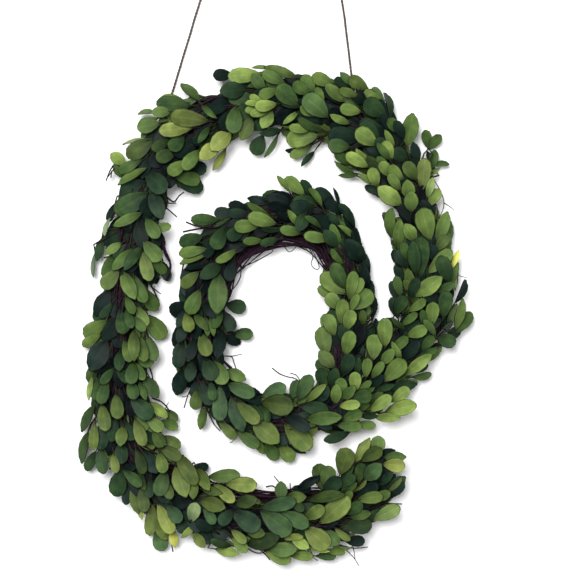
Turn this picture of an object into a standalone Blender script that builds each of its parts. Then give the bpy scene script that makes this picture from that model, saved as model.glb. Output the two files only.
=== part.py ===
"""A boxwood wreath shaped like an at sign, lying on its back with its leaves facing up.

One stroke of twisted vine starts low on the right of the inner ring, goes once round the ring, runs on up the right
side and round the outside, and ends at the tail, low on the right. Bunches of boxwood sprigs are bound to it one after
another with wire, their tips pointing along the stroke, each bunch lying over the bound end of the next. A jute twine
is tied round the vine at two places at the top, and lies on the surface above the wreath in one open loop.

Places on the stroke are given by three numbers: how far along it, the angle round it, and the distance from its
middle line. The angle is 0 at the front, positive towards the middle of the wreath and 180 degrees at the back.
"""

import math
import random

import bmesh
import bpy
import numpy as np
from mathutils import Vector
from mathutils.bvhtree import BVHTree

MM = 0.001

# The stroke's middle line, as turning angle in degrees and distance in millimetres from the middle of the wreath.
STROKE = [
    (315, 80), (330, 72), (345, 68), (360, 67), (380, 70), (400, 78), (420, 92), (440, 96), (460, 90), (480, 85),
    (500, 80), (520, 72), (540, 70), (560, 75), (580, 86), (600, 93), (620, 98), (640, 101), (660, 99), (680, 104),
    (700, 120), (720, 141), (740, 149), (760, 164), (780, 185), (800, 195), (820, 197), (840, 186), (860, 162),
    (880, 144), (900, 141), (920, 155), (940, 178), (960, 194), (980, 192), (1000, 193), (1020, 181), (1040, 168),
]
FIRST_BUNCH_ANGLE = 323.0
LAST_BUNCH_ANGLE = 1014.0
# The middle of the finished wreath's outline, seen from the stroke's own centre, in millimetres.
OUTLINE_MIDDLE = (-2.6, 0.4)

# How far the leaf tips stand from the middle line at the sides, as turning angle and millimetres.
SIDE_REACH = [
    (315, 29), (400, 28), (430, 31), (500, 32), (530, 28), (560, 32), (640, 33), (680, 35), (700, 37), (740, 33),
    (765, 33), (790, 41), (810, 40), (840, 41), (870, 34), (895, 31), (925, 41), (945, 45), (975, 43), (1040, 43),
]
FRONT_REACH = 25 * MM

BUNCHES = 50
VINE_RISE = 3.5 * MM
STRAND_RADIUS = 4.5 * MM
STRAND_OFFSET = 6.1 * MM
STRANDS = 3
STRAND_SIDES = 4
STRAND_STEP = 26 * MM
BUNCHES_PER_TWIST = 9
STRAND_FLAT = STRAND_OFFSET + STRAND_RADIUS * math.cos(math.pi / STRAND_SIDES)
VINE_RADIUS = math.hypot(STRAND_FLAT, STRAND_RADIUS * math.sin(math.pi / STRAND_SIDES))
VINE_HEIGHT = STRAND_FLAT + VINE_RISE
STRAND_TAILS = [(-13 * MM, 20 * MM), (-8 * MM, 13 * MM), (-11 * MM, 26 * MM)]

# Where the wreath stands on the vine, as turning angles, with the flat spot's half length and its ramps' far ends.
REST_ANGLES = [769, 853, 979]
REST_FLAT = 4 * MM
REST_RAMP = 13 * MM
FLATTEN_BELOW = 0.7 * MM

CLEARANCE = 0.3 * MM
STEM_HALF = 0.95 * MM
STEM_REACH = VINE_RADIUS + 2 * CLEARANCE + 1.25 * STEM_HALF
STEM_ANGLE = 68.0
BOUND_BACK = 10 * MM
BOUND_FRONT = 2 * MM
FORK = (-3.8 * MM, -1.4 * MM)
BEND_AT = (2.5 * MM, 36.0)
PAIR_AT = 8 * MM
PAIR_HALF = 1.1 * MM
STEM_END = 22 * MM
# How far the stems of a bunch stray from their angles, at their start and from there to their ends.
STEM_STRAY = 4.0
STEM_END_STRAY = 5.0

LEAF_LENGTH = 30 * MM
LEAF_WIDTH = 17.5 * MM
LEAF_THICKNESS = 0.8 * MM
# A leaf's outline between its base and its tip: share of the length, and half the width as a share of it.
LEAF_OUTLINE = [(0.38, 0.44), (0.76, 0.46)]
LEAF_ARCH = 0.05
LEAF_TURN_TO_FRONT = 0.55
LEAF_ROLL = 9.0
# The leaves' shares of full size: for a whole stem, and on top of that for a leaf at its side or at its end.
STEM_SIZES = (0.92, 1.08)
SIDE_LEAF_SIZES = (0.9, 1.05)
END_LEAF_SIZES = (0.95, 1.1)
# How far a pair's two leaves turn away from their stem, and an end leaf either way.
PAIR_SPREADS = (30.0, 40.0)
END_LEAF_TURN = 9.0
SIDE_LEAF_LIFT = 1.2 * MM
END_LEAF_LIFT = 1.8 * MM
NEIGHBOURS_WITHIN = 110 * MM
LEAF_MARGIN = 0.35 * MM
OWN_MARGIN = 0.15 * MM
LOWEST_LEAF = 1.0 * MM
SMALLER_LEAF = 0.8
# What a leaf tries in turn to lie clear: degrees towards the front, lift of its tip in millimetres, and its roll's share.
LEAF_TRIES = [
    (0, 0, 1), (0, 1.6, 1), (0, -1.6, 1), (0, 3.2, 1), (0, -2.8, 1.6), (0, 4.5, 0), (5, 2, 1), (5, 4, 0), (10, 2, 1),
    (10, 4.5, 0), (15, 3, 1), (15, 5.5, 0.5), (20, 5, 1), (26, 6.5, 0),
]
LEAF_TRIES += [(pull, lift, roll) for pull in (0, 8, 16) for lift in (-4, -1, 2, 5, 7) for roll in (1.4, 0.5, -0.5)]

WIRE_RADIUS = 0.45 * MM
WIRE_BEHIND = 6 * MM
BETWEEN_WIRES = 0.5
# One turn of the wire: angle round the vine, and share of the way to the next bunch.
WIRE_TURN = [(0, 0.0), (72, 0.0), (144, 1.0), (216, 1.0), (288, 1.0)]

TWINE_RADIUS = 1.1 * MM
TIE_SHARE = 0.6
TIE_SIDES = 5
TIE_STEPS = 8
TIE_OVER_WIRE = (112.5, 2.2 * MM)
KNOT_RADIUS = 3.0 * MM
KNOT_ANGLE = -95.0
TIE_ANGLES = {"left": 849.0, "right": 786.0}
# The twine's route on the surface between the knots, in millimetres from the stroke's centre.
TWINE_ROUTE = [
    (-105.5, 178, 5.5), (-102.5, 189, 2.4), (-99.5, 200, 1.1), (-94, 217, 1.1), (-88, 237, 1.1), (-81.5, 258, 1.1),
    (-75, 280, 1.1), (-67.5, 302, 1.1), (-56, 325, 1.1), (-38, 345, 1.1), (-14, 355, 1.1), (12, 354, 1.1),
    (35, 342, 1.1), (50, 324, 1.1), (59, 303, 1.1), (63, 282, 1.1), (65.5, 262, 1.1), (68, 242, 1.1),
    (70, 225, 1.1), (72, 212, 1.8), (74, 200, 5.0),
]
TWINE_STEP = 6.4 * MM

SEED = 11
VINE_COLOUR = (0.045, 0.022, 0.026)
TWINE_COLOUR = (0.30, 0.21, 0.15)
WIRE_COLOUR = (0.06, 0.07, 0.05)
LEAF_COLOURS = {
    "dark_leaves": (0.045, 0.115, 0.025),
    "green_leaves": (0.105, 0.205, 0.04),
    "light_leaves": (0.165, 0.27, 0.055),
}
# How light the sprigs are along the stroke, as turning angle and place in the list of leaf colours.
LEAF_TONE = [
    (315, 1.7), (400, 1.5), (430, 0.5), (560, 0.3), (620, 1.0), (700, 1.6), (770, 1.8), (810, 0.8), (880, 0.6),
    (930, 1.1), (980, 1.4), (1040, 1.8),
]
TONE_SPREAD = 0.7


def smooth_values(table, at):
    """The table's values read along a smooth curve through its points."""
    x = np.array([row[0] for row in table], float)
    y = np.array([row[1] for row in table], float)
    slope = np.gradient(y, x)
    i = np.clip(np.searchsorted(x, at) - 1, 0, len(x) - 2)
    width = x[i + 1] - x[i]
    u = np.clip((at - x[i]) / width, 0, 1)
    return (
        (2 * u**3 - 3 * u**2 + 1) * y[i]
        + (u**3 - 2 * u**2 + u) * width * slope[i]
        + (-2 * u**3 + 3 * u**2) * y[i + 1]
        + (u**3 - u**2) * width * slope[i + 1]
    )


class Stroke:
    """The middle line of the wreath, measured by length along it."""

    def __init__(self):
        self.angles = np.linspace(STROKE[0][0], STROKE[-1][0], 4000)
        reach = smooth_values(STROKE, self.angles) * MM
        turn = np.radians(self.angles)
        self.x = reach * np.cos(turn) - OUTLINE_MIDDLE[0] * MM
        self.y = reach * np.sin(turn) - OUTLINE_MIDDLE[1] * MM
        steps = np.hypot(np.diff(self.x), np.diff(self.y))
        self.along = np.concatenate([[0], np.cumsum(steps)])
        self.first = self.length_at(FIRST_BUNCH_ANGLE)
        self.pitch = (self.length_at(LAST_BUNCH_ANGLE) - self.first) / (BUNCHES - 1)
        self.rests = [self.rest_near(angle) for angle in REST_ANGLES]

    def length_at(self, angle):
        return float(np.interp(angle, self.angles, self.along))

    def angle_at(self, length):
        return float(np.interp(length, self.along, self.angles))

    def bunch_start(self, number):
        return self.first + number * self.pitch

    def rest_near(self, angle):
        """The place nearest to this turning angle where a strand runs along the bottom."""
        wanted = (self.length_at(angle) - self.first) / self.pitch
        apart = BUNCHES_PER_TWIST // STRANDS
        return self.bunch_start(round(wanted / apart) * apart) + BETWEEN_WIRES * self.pitch - WIRE_BEHIND

    def height(self, length):
        """The middle line's height, which dips at the three resting places."""
        dips = [(REST_RAMP - abs(length - rest)) / (REST_RAMP - REST_FLAT) for rest in self.rests]
        return VINE_HEIGHT - VINE_RISE * min(1.0, max(0.0, *dips))

    def middle(self, length):
        x = np.interp(length, self.along, self.x)
        y = np.interp(length, self.along, self.y)
        return Vector((x, y, self.height(length)))

    def outwards(self, length, angle):
        """The direction away from the middle line at this angle round it."""
        ahead = self.middle(length + MM) - self.middle(length - MM)
        inward = Vector((-ahead.y, ahead.x, 0)).normalized()
        turn = math.radians(angle)
        return inward * math.sin(turn) + Vector((0, 0, math.cos(turn)))

    def place(self, length, angle, reach):
        return self.middle(length) + self.outwards(length, angle) * reach


def mesh_object(name, points, faces, finish=None):
    mesh = bpy.data.meshes.new(name)
    mesh.from_pydata([tuple(p) for p in points], [], faces)
    obj = bpy.data.objects.new(name, mesh)
    bpy.context.scene.collection.objects.link(obj)
    if finish is not None:
        mesh.materials.append(finish)
    return obj


def tube(points, radii, sides, ups, closed=False, turn=0.0):
    """A tube through the points as (points, faces). Each ring's first corner lies turn radians from its up direction."""
    count = len(points)
    rings = []
    for i, point in enumerate(points):
        before = points[i - 1] if i or closed else point
        after = points[(i + 1) % count] if i < count - 1 or closed else point
        heading = (after - before).normalized()
        across = (ups[i] - heading * ups[i].dot(heading)).normalized()
        side = heading.cross(across)
        for k in range(sides):
            corner = turn + 2 * math.pi * k / sides
            rings.append(point + (across * math.cos(corner) + side * math.sin(corner)) * radii[i])
    faces = []
    for i in range(count if closed else count - 1):
        here, there = i * sides, (i + 1) % count * sides
        for k in range(sides):
            n = (k + 1) % sides
            faces.append((here + k, here + n, there + n, there + k))
    if not closed:
        faces.append(tuple(reversed(range(sides))))
        faces.append(tuple(range((count - 1) * sides, count * sides)))
    return rings, faces


def material(name, colour, roughness):
    made = bpy.data.materials.new(name)
    made.use_nodes = True
    shader = made.node_tree.nodes["Principled BSDF"]
    shader.inputs["Base Color"].default_value = (*colour, 1)
    shader.inputs["Roughness"].default_value = roughness
    shader.inputs["Metallic"].default_value = 0.0
    made.diffuse_color = (*colour, 1)
    return made


def vine_strand(stroke, number):
    """One twisted hank of vine, as (points, faces), pressed flat where it rests."""
    before, after = STRAND_TAILS[number]
    start = stroke.first + before
    end = stroke.bunch_start(BUNCHES - 1) + after
    steps = [i * STRAND_STEP for i in range(round(end / STRAND_STEP) + 1)]
    for rest in stroke.rests:
        steps = [s for s in steps if abs(s - rest) > REST_RAMP + REST_FLAT]
        steps += [rest - REST_RAMP, rest - REST_FLAT, rest + REST_FLAT, rest + REST_RAMP]
    steps = [start] + sorted(s for s in steps if start + STRAND_STEP / 4 < s < end - STRAND_STEP / 4) + [end]
    points, ups = [], []
    for s in steps:
        bunches = (s - stroke.first + WIRE_BEHIND) / stroke.pitch - BETWEEN_WIRES
        turns = bunches / BUNCHES_PER_TWIST + number / STRANDS
        up = stroke.outwards(s, 360 * turns + 180)
        points.append(stroke.middle(s) + up * STRAND_OFFSET)
        ups.append(up)
    rings, faces = tube(points, [STRAND_RADIUS] * len(points), STRAND_SIDES, ups, turn=math.pi / STRAND_SIDES)
    for corner in rings:
        if corner.z < FLATTEN_BELOW:
            corner.z = 0.0
    return rings, faces


def binding_wire(stroke):
    """The wire, once round the vine and the stem at each bunch and then slanting along the inside to the next."""
    tight = (VINE_RADIUS + CLEARANCE + WIRE_RADIUS) / math.cos(math.radians(36))
    over_stem = STEM_REACH + 1.8 * STEM_HALF + CLEARANCE + 1.5 * WIRE_RADIUS
    points, ups = [], []
    for number in range(BUNCHES):
        start = stroke.bunch_start(number) - WIRE_BEHIND
        for angle, share in WIRE_TURN[:2] if number == BUNCHES - 1 else WIRE_TURN:
            length = start + share * stroke.pitch
            points.append(stroke.place(length, angle, tight if angle else over_stem))
            ups.append(stroke.outwards(length, angle))
    return tube(points, [WIRE_RADIUS] * len(points), 3, ups)


def tie_length(stroke, side):
    number = round((stroke.length_at(TIE_ANGLES[side]) - stroke.first) / stroke.pitch - TIE_SHARE)
    return stroke.bunch_start(number) - WIRE_BEHIND + TIE_SHARE * stroke.pitch


def knot_place(stroke, side):
    return stroke.place(tie_length(stroke, side), KNOT_ANGLE, VINE_RADIUS + CLEARANCE + KNOT_RADIUS)


def tie_ring(stroke, side):
    """The twine's loop round the vine, which rises over the binding wire at one corner."""
    length = tie_length(stroke, side)
    points, ups = [], []
    for step in range(TIE_STEPS):
        angle = 360 * (step + 0.5) / TIE_STEPS
        reach = (VINE_RADIUS + CLEARANCE + TWINE_RADIUS) / math.cos(math.pi / TIE_STEPS)
        if angle == TIE_OVER_WIRE[0]:
            reach += TIE_OVER_WIRE[1]
        points.append(stroke.place(length, angle, reach))
        ups.append(stroke.outwards(length, angle))
    return tube(points, [TWINE_RADIUS] * len(points), TIE_SIDES, ups, closed=True)


def knot_shape(place):
    """A round knot as (points, faces)."""
    ball = bmesh.new()
    bmesh.ops.create_icosphere(ball, subdivisions=1, radius=KNOT_RADIUS)
    points = [v.co + place for v in ball.verts]
    faces = [tuple(v.index for v in f.verts) for f in ball.faces]
    ball.free()
    return points, faces


def twine_points(stroke):
    """Points along the twine, evenly spaced on a smooth curve from one knot to the other."""
    route = [Vector((x - OUTLINE_MIDDLE[0], y - OUTLINE_MIDDLE[1], z)) * MM for x, y, z in TWINE_ROUTE]
    for side, end in (("left", 0), ("right", -1)):
        knot = knot_place(stroke, side)
        away = (route[end] - knot).normalized()
        met = knot + away * (KNOT_RADIUS + CLEARANCE)
        route.insert(0, met) if side == "left" else route.append(met)
    numbers = np.arange(len(route))
    fine = np.linspace(0, len(route) - 1, 1200)
    curve = np.stack([smooth_values([(n, p[k]) for n, p in zip(numbers, route)], fine) for k in range(3)], axis=1)
    curve[:, 2] = np.maximum(curve[:, 2], TWINE_RADIUS)
    along = np.concatenate([[0], np.cumsum(np.linalg.norm(np.diff(curve, axis=0), axis=1))])
    at = np.linspace(0, along[-1], round(along[-1] / TWINE_STEP) + 1)
    print(f"twine: {along[-1] / MM:.0f} mm")
    return [Vector([np.interp(a, along, curve[:, k]) for k in range(3)]) for a in at]


def twine_hanger(points, finish):
    curve = bpy.data.curves.new("twine_hanger", "CURVE")
    curve.dimensions = "3D"
    curve.bevel_depth = TWINE_RADIUS
    curve.bevel_resolution = 2
    curve.use_fill_caps = True
    spline = curve.splines.new("POLY")
    spline.points.add(len(points) - 1)
    for point, place in zip(spline.points, points):
        point.co = (*place, 1)
    obj = bpy.data.objects.new("twine_hanger", curve)
    bpy.context.scene.collection.objects.link(obj)
    curve.materials.append(finish)


def layer_reach(stroke, number, ahead, angle):
    """How far a bunch's own layer stands from the middle line, this far ahead of its start."""
    start = stroke.bunch_start(number)
    side = float(smooth_values(SIDE_REACH, np.array([stroke.angle_at(start)]))[0]) * MM
    full = FRONT_REACH + (side - FRONT_REACH) * math.sin(math.radians(angle)) ** 2
    rise = (full - STEM_REACH) / (STEM_END + LEAF_LENGTH)
    return STEM_REACH + max(0.0, ahead - BOUND_FRONT) * rise


class Shape:
    """A closed shape grown ring by ring. A ring has four corners: right top, left top, left bottom, right bottom."""

    def __init__(self):
        self.points = []
        self.faces = []

    def ring(self, centre, side, up, half_side, half_up):
        first = len(self.points)
        for across, rise in ((1, 1), (-1, 1), (-1, -1), (1, -1)):
            self.points.append(centre + side * (across * half_side) + up * (rise * half_up))
        return [first, first + 1, first + 2, first + 3]

    def skin(self, near, far, sides=True):
        """The four sides between two rings, each split alike with the one across. Its left and right may stay open."""
        (a, b, c, d), (e, f, g, h) = near, far
        self.faces += [(a, e, f), (a, f, b), (c, g, d), (g, h, d)]
        if sides:
            self.faces += [(b, f, g), (b, g, c), (d, h, a), (h, e, a)]

    def cap(self, ring):
        a, b, c, d = ring
        self.faces += [(d, c, b), (d, b, a)]


def left_root(near, far):
    return [far[1], near[1], near[2], far[2]]


def right_root(near, far):
    return [near[0], far[0], far[3], near[3]]


def grow_stem(shape, stroke, number, root, stops, open_before):
    """Adds a ring at each stop, (ahead, angle), and leaves the sides open before the stops named. Gives all the rings."""
    start = stroke.bunch_start(number)
    places = [stroke.place(start + at, turn, layer_reach(stroke, number, at, turn)) for at, turn in stops]
    rings = [root] if root else []
    for i, (at, turn) in enumerate(stops):
        heading = (places[min(i + 1, len(stops) - 1)] - places[max(i - 1, 0)]).normalized()
        up = stroke.outwards(start + at, turn)
        side = heading.cross(up).normalized()
        rings.append(shape.ring(places[i], side, side.cross(heading), STEM_HALF, STEM_HALF))
        if len(rings) > 1:
            shape.skin(rings[-2], rings[-1], i not in open_before)
    return rings


def bunch_stems(stroke, number, rng):
    """The bunch's three stems as one open shape, and what each leaf asks for: root, ahead, angle, spread, size, lift."""
    shape, wishes = Shape(), []
    angles = [middle + rng.uniform(-STEM_STRAY, STEM_STRAY) for middle in (0.0, STEM_ANGLE, -STEM_ANGLE)]
    ends = [angle + rng.uniform(-STEM_END_STRAY, STEM_END_STRAY) for angle in angles]
    pair = (PAIR_AT - PAIR_HALF, PAIR_AT + PAIR_HALF)
    stops = [(-BOUND_BACK, 0.0), (FORK[0], 0.0), (FORK[1], 0.0)]
    stops += [(pair[0], angles[0]), (pair[1], angles[0]), (STEM_END, ends[0])]
    middle = grow_stem(shape, stroke, number, None, stops, (2, 4))
    shape.cap(middle[0][::-1])
    stems = [(middle[3], middle[4], middle[5])]
    for k, root in ((1, left_root(middle[1], middle[2])), (2, right_root(middle[1], middle[2]))):
        bend = math.copysign(BEND_AT[1], angles[k])
        stops = [(BEND_AT[0], bend), (pair[0], angles[k]), (pair[1], angles[k]), (STEM_END, ends[k])]
        rings = grow_stem(shape, stroke, number, root, stops, (2,))
        stems.append((rings[2], rings[3], rings[4]))
    for (near, far, end), angle, end_angle in zip(stems, angles, ends):
        size = rng.uniform(*STEM_SIZES)
        for side, root in ((-1, right_root(near, far)), (1, left_root(near, far))):
            spread = side * rng.uniform(*PAIR_SPREADS)
            leaf_size = size * rng.uniform(*SIDE_LEAF_SIZES)
            wishes.append((root, PAIR_AT, angle, spread, leaf_size, side * SIDE_LEAF_LIFT))
        spread = rng.uniform(-END_LEAF_TURN, END_LEAF_TURN)
        wishes.append((end, STEM_END, end_angle, spread, size * rng.uniform(*END_LEAF_SIZES), END_LEAF_LIFT))
    return shape, wishes


def grow_leaf(shape, stroke, number, wish, roll, attempt, margin=0.0):
    """Adds the leaf to the shape at its root, laid in its bunch's layer and then moved as the attempt says."""
    root, ahead, angle, spread, size, lift = wish
    pull, raised, roll_share = attempt
    length = LEAF_LENGTH * size
    turn = math.radians(spread)
    start = stroke.bunch_start(number)
    base = sum((shape.points[i] for i in root), Vector()) / 4
    tip_ahead = ahead + length * math.cos(turn)
    tip_angle = angle + math.degrees(length * math.sin(turn) / (layer_reach(stroke, number, ahead, angle) + 5 * MM))
    tip_angle -= pull * (1 if tip_angle > 0 else -1)
    tip_reach = layer_reach(stroke, number, tip_ahead, tip_angle) + lift + raised * MM
    forward = (stroke.place(start + tip_ahead, tip_angle, tip_reach) - base).normalized()
    middle_angle = (angle + tip_angle) / 2
    up = stroke.outwards(start + (ahead + tip_ahead) / 2, middle_angle)
    up = (up - forward * up.dot(forward)).normalized()
    side = forward.cross(up)
    turned = roll + math.radians(LEAF_TURN_TO_FRONT * middle_angle * roll_share)
    up = up * math.cos(turned) + side * math.sin(turned)
    side = forward.cross(up)
    near = root
    half_up = LEAF_THICKNESS / 2 + margin
    for share, half in LEAF_OUTLINE:
        centre = base + forward * (share * length) + up * (LEAF_ARCH * length * 4 * share * (1 - share))
        far = shape.ring(centre, side, up, half * LEAF_WIDTH * size + margin, half_up)
        shape.skin(near, far)
        near = far
    a, b, c, d = near
    top = len(shape.points)
    tip = base + forward * (length + margin)
    shape.points += [tip + up * half_up, tip - up * half_up]
    shape.faces += [(a, top, b), (b, top, top + 1), (b, top + 1, c), (c, top + 1, d), (d, top + 1, top), (d, top, a)]


def tree_of(points, faces):
    return BVHTree.FromPolygons([tuple(p) for p in points], faces)


def own_crossings(shape, first_face):
    """How many of the shape's new faces, from the first one given, cross an old one that they don't touch."""
    old, new = shape.faces[:first_face], shape.faces[first_face:]
    pairs = tree_of(shape.points, new).overlap(tree_of(shape.points, old))
    return sum(not set(new[i]) & set(old[k]) for i, k in pairs)


def leaf_alone(stroke, number, shape, wish, roll, attempt):
    """The leaf with a margin all round, as a shape by itself."""
    alone = Shape()
    alone.points = [shape.points[i] for i in wish[0]]
    grow_leaf(alone, stroke, number, ([0, 1, 2, 3], *wish[1:]), roll, attempt, LEAF_MARGIN)
    return alone


def add_clear_leaf(shape, stroke, number, wish, roll, others):
    """Adds the leaf as the first try that crosses nothing, and tells whether one was found."""
    root, ahead, angle, spread, size, lift = wish
    smaller = (root, ahead, angle, spread, size * SMALLER_LEAF, lift)
    for wish, attempt in [(wish, attempt) for wish in (wish, smaller) for attempt in LEAF_TRIES]:
        alone = leaf_alone(stroke, number, shape, wish, roll, attempt)
        if min(point.z for point in alone.points) < LOWEST_LEAF:
            continue
        tree = tree_of(alone.points, alone.faces)
        if any(tree.overlap(other) for other in others):
            continue
        points, faces = len(shape.points), len(shape.faces)
        grow_leaf(shape, stroke, number, wish, roll, attempt, OWN_MARGIN)
        crossed = own_crossings(shape, faces)
        del shape.points[points:], shape.faces[faces:]
        if not crossed:
            grow_leaf(shape, stroke, number, wish, roll, attempt)
            return True
    return False


def all_bunches(stroke, obstacles):
    """Every bunch as one closed shape. A leaf that would cross something is bent clear, or left out."""
    rng = random.Random(SEED)
    plans = [bunch_stems(stroke, number, rng) for number in range(BUNCHES)]
    fixed = [tree_of(*shape) for shape in obstacles]
    trees = [tree_of(shape.points, shape.faces) for shape, _ in plans]
    dropped = 0
    for number, (shape, wishes) in enumerate(plans):
        middle = stroke.middle(stroke.bunch_start(number) + PAIR_AT)
        near = list(fixed)
        for other in range(BUNCHES):
            apart = (stroke.middle(stroke.bunch_start(other) + PAIR_AT) - middle).length
            if other != number and apart < NEIGHBOURS_WITHIN:
                near.append(trees[other])
        for wish in wishes:
            roll = math.radians(rng.uniform(-LEAF_ROLL, LEAF_ROLL))
            if not add_clear_leaf(shape, stroke, number, wish, roll, near):
                shape.cap(wish[0])
                dropped += 1
        trees[number] = tree_of(shape.points, shape.faces)
    print("leaves:", sum(len(wishes) for _, wishes in plans) - dropped, "left out:", dropped)
    return [shape for shape, _ in plans]


def bunch_tones(stroke):
    """Which leaf colour each bunch has."""
    rng = random.Random(SEED)
    angles = np.array([stroke.angle_at(stroke.bunch_start(number)) for number in range(BUNCHES)])
    wanted = smooth_values(LEAF_TONE, angles)
    last = len(LEAF_COLOURS) - 1
    return [min(last, max(0, round(float(tone) + rng.uniform(-TONE_SPREAD, TONE_SPREAD)))) for tone in wanted]


def joined(name, shapes, finish):
    """The shapes joined in one solid by a Boolean union."""
    parts = bpy.data.collections.new(name + "_parts")
    bpy.context.scene.collection.children.link(parts)
    for i, (points, faces) in enumerate(shapes[1:]):
        part = mesh_object(f"{name}_part_{i}", points, faces)
        parts.objects.link(part)
        bpy.context.scene.collection.objects.unlink(part)
    obj = mesh_object(name, *shapes[0], finish)
    union = obj.modifiers.new("join", "BOOLEAN")
    union.operation = "UNION"
    union.operand_type = "COLLECTION"
    union.collection = parts
    union.solver = "EXACT"
    bpy.context.view_layer.objects.active = obj
    bpy.ops.object.modifier_apply(modifier=union.name)
    for part in list(parts.objects):
        bpy.data.objects.remove(part)
    bpy.data.collections.remove(parts)
    return obj


def main():
    for old in list(bpy.data.objects):
        bpy.data.objects.remove(old)
    stroke = Stroke()
    vine_finish = material("dark_vine", VINE_COLOUR, 0.85)
    twine_finish = material("jute_twine", TWINE_COLOUR, 0.95)
    wire_finish = material("binding_wire", WIRE_COLOUR, 0.5)
    leaf_finishes = [material(name, colour, 0.5) for name, colour in LEAF_COLOURS.items()]

    strands = [vine_strand(stroke, number) for number in range(STRANDS)]
    for number, shape in enumerate(strands):
        mesh_object(f"vine_strand_{number + 1}", *shape, vine_finish)
    wire = binding_wire(stroke)
    mesh_object("binding_wire", *wire, wire_finish)

    twine = twine_points(stroke)
    twine_hanger(twine, twine_finish)
    ties = []
    for side in TIE_ANGLES:
        ring, knot = tie_ring(stroke, side), knot_shape(knot_place(stroke, side))
        joined(f"twine_tie_{side}", [ring, knot], twine_finish)
        ties += [ring, knot]

    twine_shape = tube(twine, [TWINE_RADIUS] * len(twine), 6, [Vector((0, 0, 1))] * len(twine))
    tones = bunch_tones(stroke)
    for number, shape in enumerate(all_bunches(stroke, strands + [wire, twine_shape] + ties)):
        mesh_object(f"bunch_{number + 1:02d}", shape.points, shape.faces, leaf_finishes[tones[number]])


main()
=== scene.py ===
"""The looks of a boxwood wreath in the shape of an at sign, lying on its back with its leaves facing up.

Sprigs of boxwood are bound to a spiral of thin twisted vines. Places on the spiral are given, as in the
solids, by the length along it, the angle round it (0 at the front, positive towards the wreath's middle) and
the distance from its middle line.
"""

import math
import random
from dataclasses import dataclass

import bpy
import numpy as np
from mathutils import Matrix, Vector
from mathutils.bvhtree import BVHTree


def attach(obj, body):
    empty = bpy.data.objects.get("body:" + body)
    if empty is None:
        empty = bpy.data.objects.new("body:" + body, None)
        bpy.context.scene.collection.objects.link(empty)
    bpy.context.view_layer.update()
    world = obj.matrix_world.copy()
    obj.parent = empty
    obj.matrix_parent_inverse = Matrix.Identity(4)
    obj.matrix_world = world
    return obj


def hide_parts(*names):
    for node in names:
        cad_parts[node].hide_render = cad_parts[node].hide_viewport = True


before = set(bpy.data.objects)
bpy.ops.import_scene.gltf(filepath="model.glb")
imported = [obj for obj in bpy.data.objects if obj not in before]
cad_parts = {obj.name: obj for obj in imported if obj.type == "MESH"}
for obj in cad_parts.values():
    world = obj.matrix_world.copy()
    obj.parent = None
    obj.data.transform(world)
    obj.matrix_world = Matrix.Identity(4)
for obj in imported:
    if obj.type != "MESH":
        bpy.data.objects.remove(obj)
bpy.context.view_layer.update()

MM = 0.001
SEED = 7

# The spiral's middle line: turning angle in degrees, and distance in millimetres from the wreath's middle.
STROKE = [
    (315, 80), (330, 72), (345, 68), (360, 67), (380, 70), (400, 78), (420, 92), (440, 96), (460, 90),
    (480, 85), (500, 80), (520, 72), (540, 70), (560, 75), (580, 86), (600, 93), (620, 98), (640, 101),
    (660, 99), (680, 104), (700, 120), (720, 141), (740, 149), (760, 164), (780, 185), (800, 195),
    (820, 197), (840, 186), (860, 162), (880, 144), (900, 141), (920, 155), (940, 178), (960, 194),
    (980, 192), (1000, 193), (1020, 181), (1040, 168),
]
STROKE_POINTS = 4000
FIRST_BUNCH_ANGLE = 323.0
LAST_BUNCH_ANGLE = 1014.0
OUTLINE_MIDDLE = (-2.6, 0.4)
BUNCHES = 50

# How far the leaf tips stand from the middle line at its two sides, as turning angle and millimetres.
INNER_REACH = [
    (315, 28), (360, 26), (400, 28), (430, 32), (470, 33), (500, 33), (530, 30), (560, 34), (600, 32),
    (640, 37), (680, 40), (720, 36), (750, 33), (780, 37), (810, 36), (840, 42), (870, 37), (895, 30),
    (915, 38), (940, 42), (980, 42), (1014, 42), (1040, 34),
]
OUTER_REACH = [
    (315, 27), (360, 26), (400, 26), (430, 31), (455, 24), (480, 27), (500, 32), (525, 22), (545, 26),
    (580, 29), (600, 27), (640, 30), (680, 36), (700, 30), (720, 38), (745, 30), (780, 34), (795, 38),
    (820, 35), (840, 38), (870, 31), (900, 29), (930, 40), (960, 38), (975, 34), (1010, 38), (1040, 34),
]
FRONT_REACH = 25 * MM

STRANDS = 3
STRAND_OFFSET = 6.1 * MM
VINE_RADIUS = 9.8 * MM
VINE_HEIGHT = 12.8 * MM
BUNCHES_PER_TWIST = 9
BETWEEN_WIRES = 0.5
WIRE_BEHIND = 6 * MM
STEM_REACH = 11.6 * MM
LAYER_LENGTH = 52 * MM

TWINE_RADIUS = 1.1 * MM
KNOT_RADIUS = 3.0 * MM
KNOT_ANGLE = -95.0
KNOT_REACH = VINE_RADIUS + 3.3 * MM
TIE_SHARE = 0.6
TIE_ANGLES = {"left": 849.0, "right": 786.0}
# The twine's route on the surface between the knots, in millimetres from the spiral's centre.
TWINE_ROUTE = [
    (-105.5, 178, 5.5), (-102.5, 189, 2.4), (-99.5, 200, 1.1), (-94, 217, 1.1), (-88, 237, 1.1),
    (-81.5, 258, 1.1), (-75, 280, 1.1), (-67.5, 302, 1.1), (-56, 325, 1.1), (-38, 345, 1.1),
    (-14, 355, 1.1), (12, 354, 1.1), (35, 342, 1.1), (50, 324, 1.1), (59, 303, 1.1), (63, 282, 1.1),
    (65.5, 262, 1.1), (68, 242, 1.1), (70, 225, 1.1), (72, 212, 1.8), (74, 200, 5.0),
]

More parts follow.
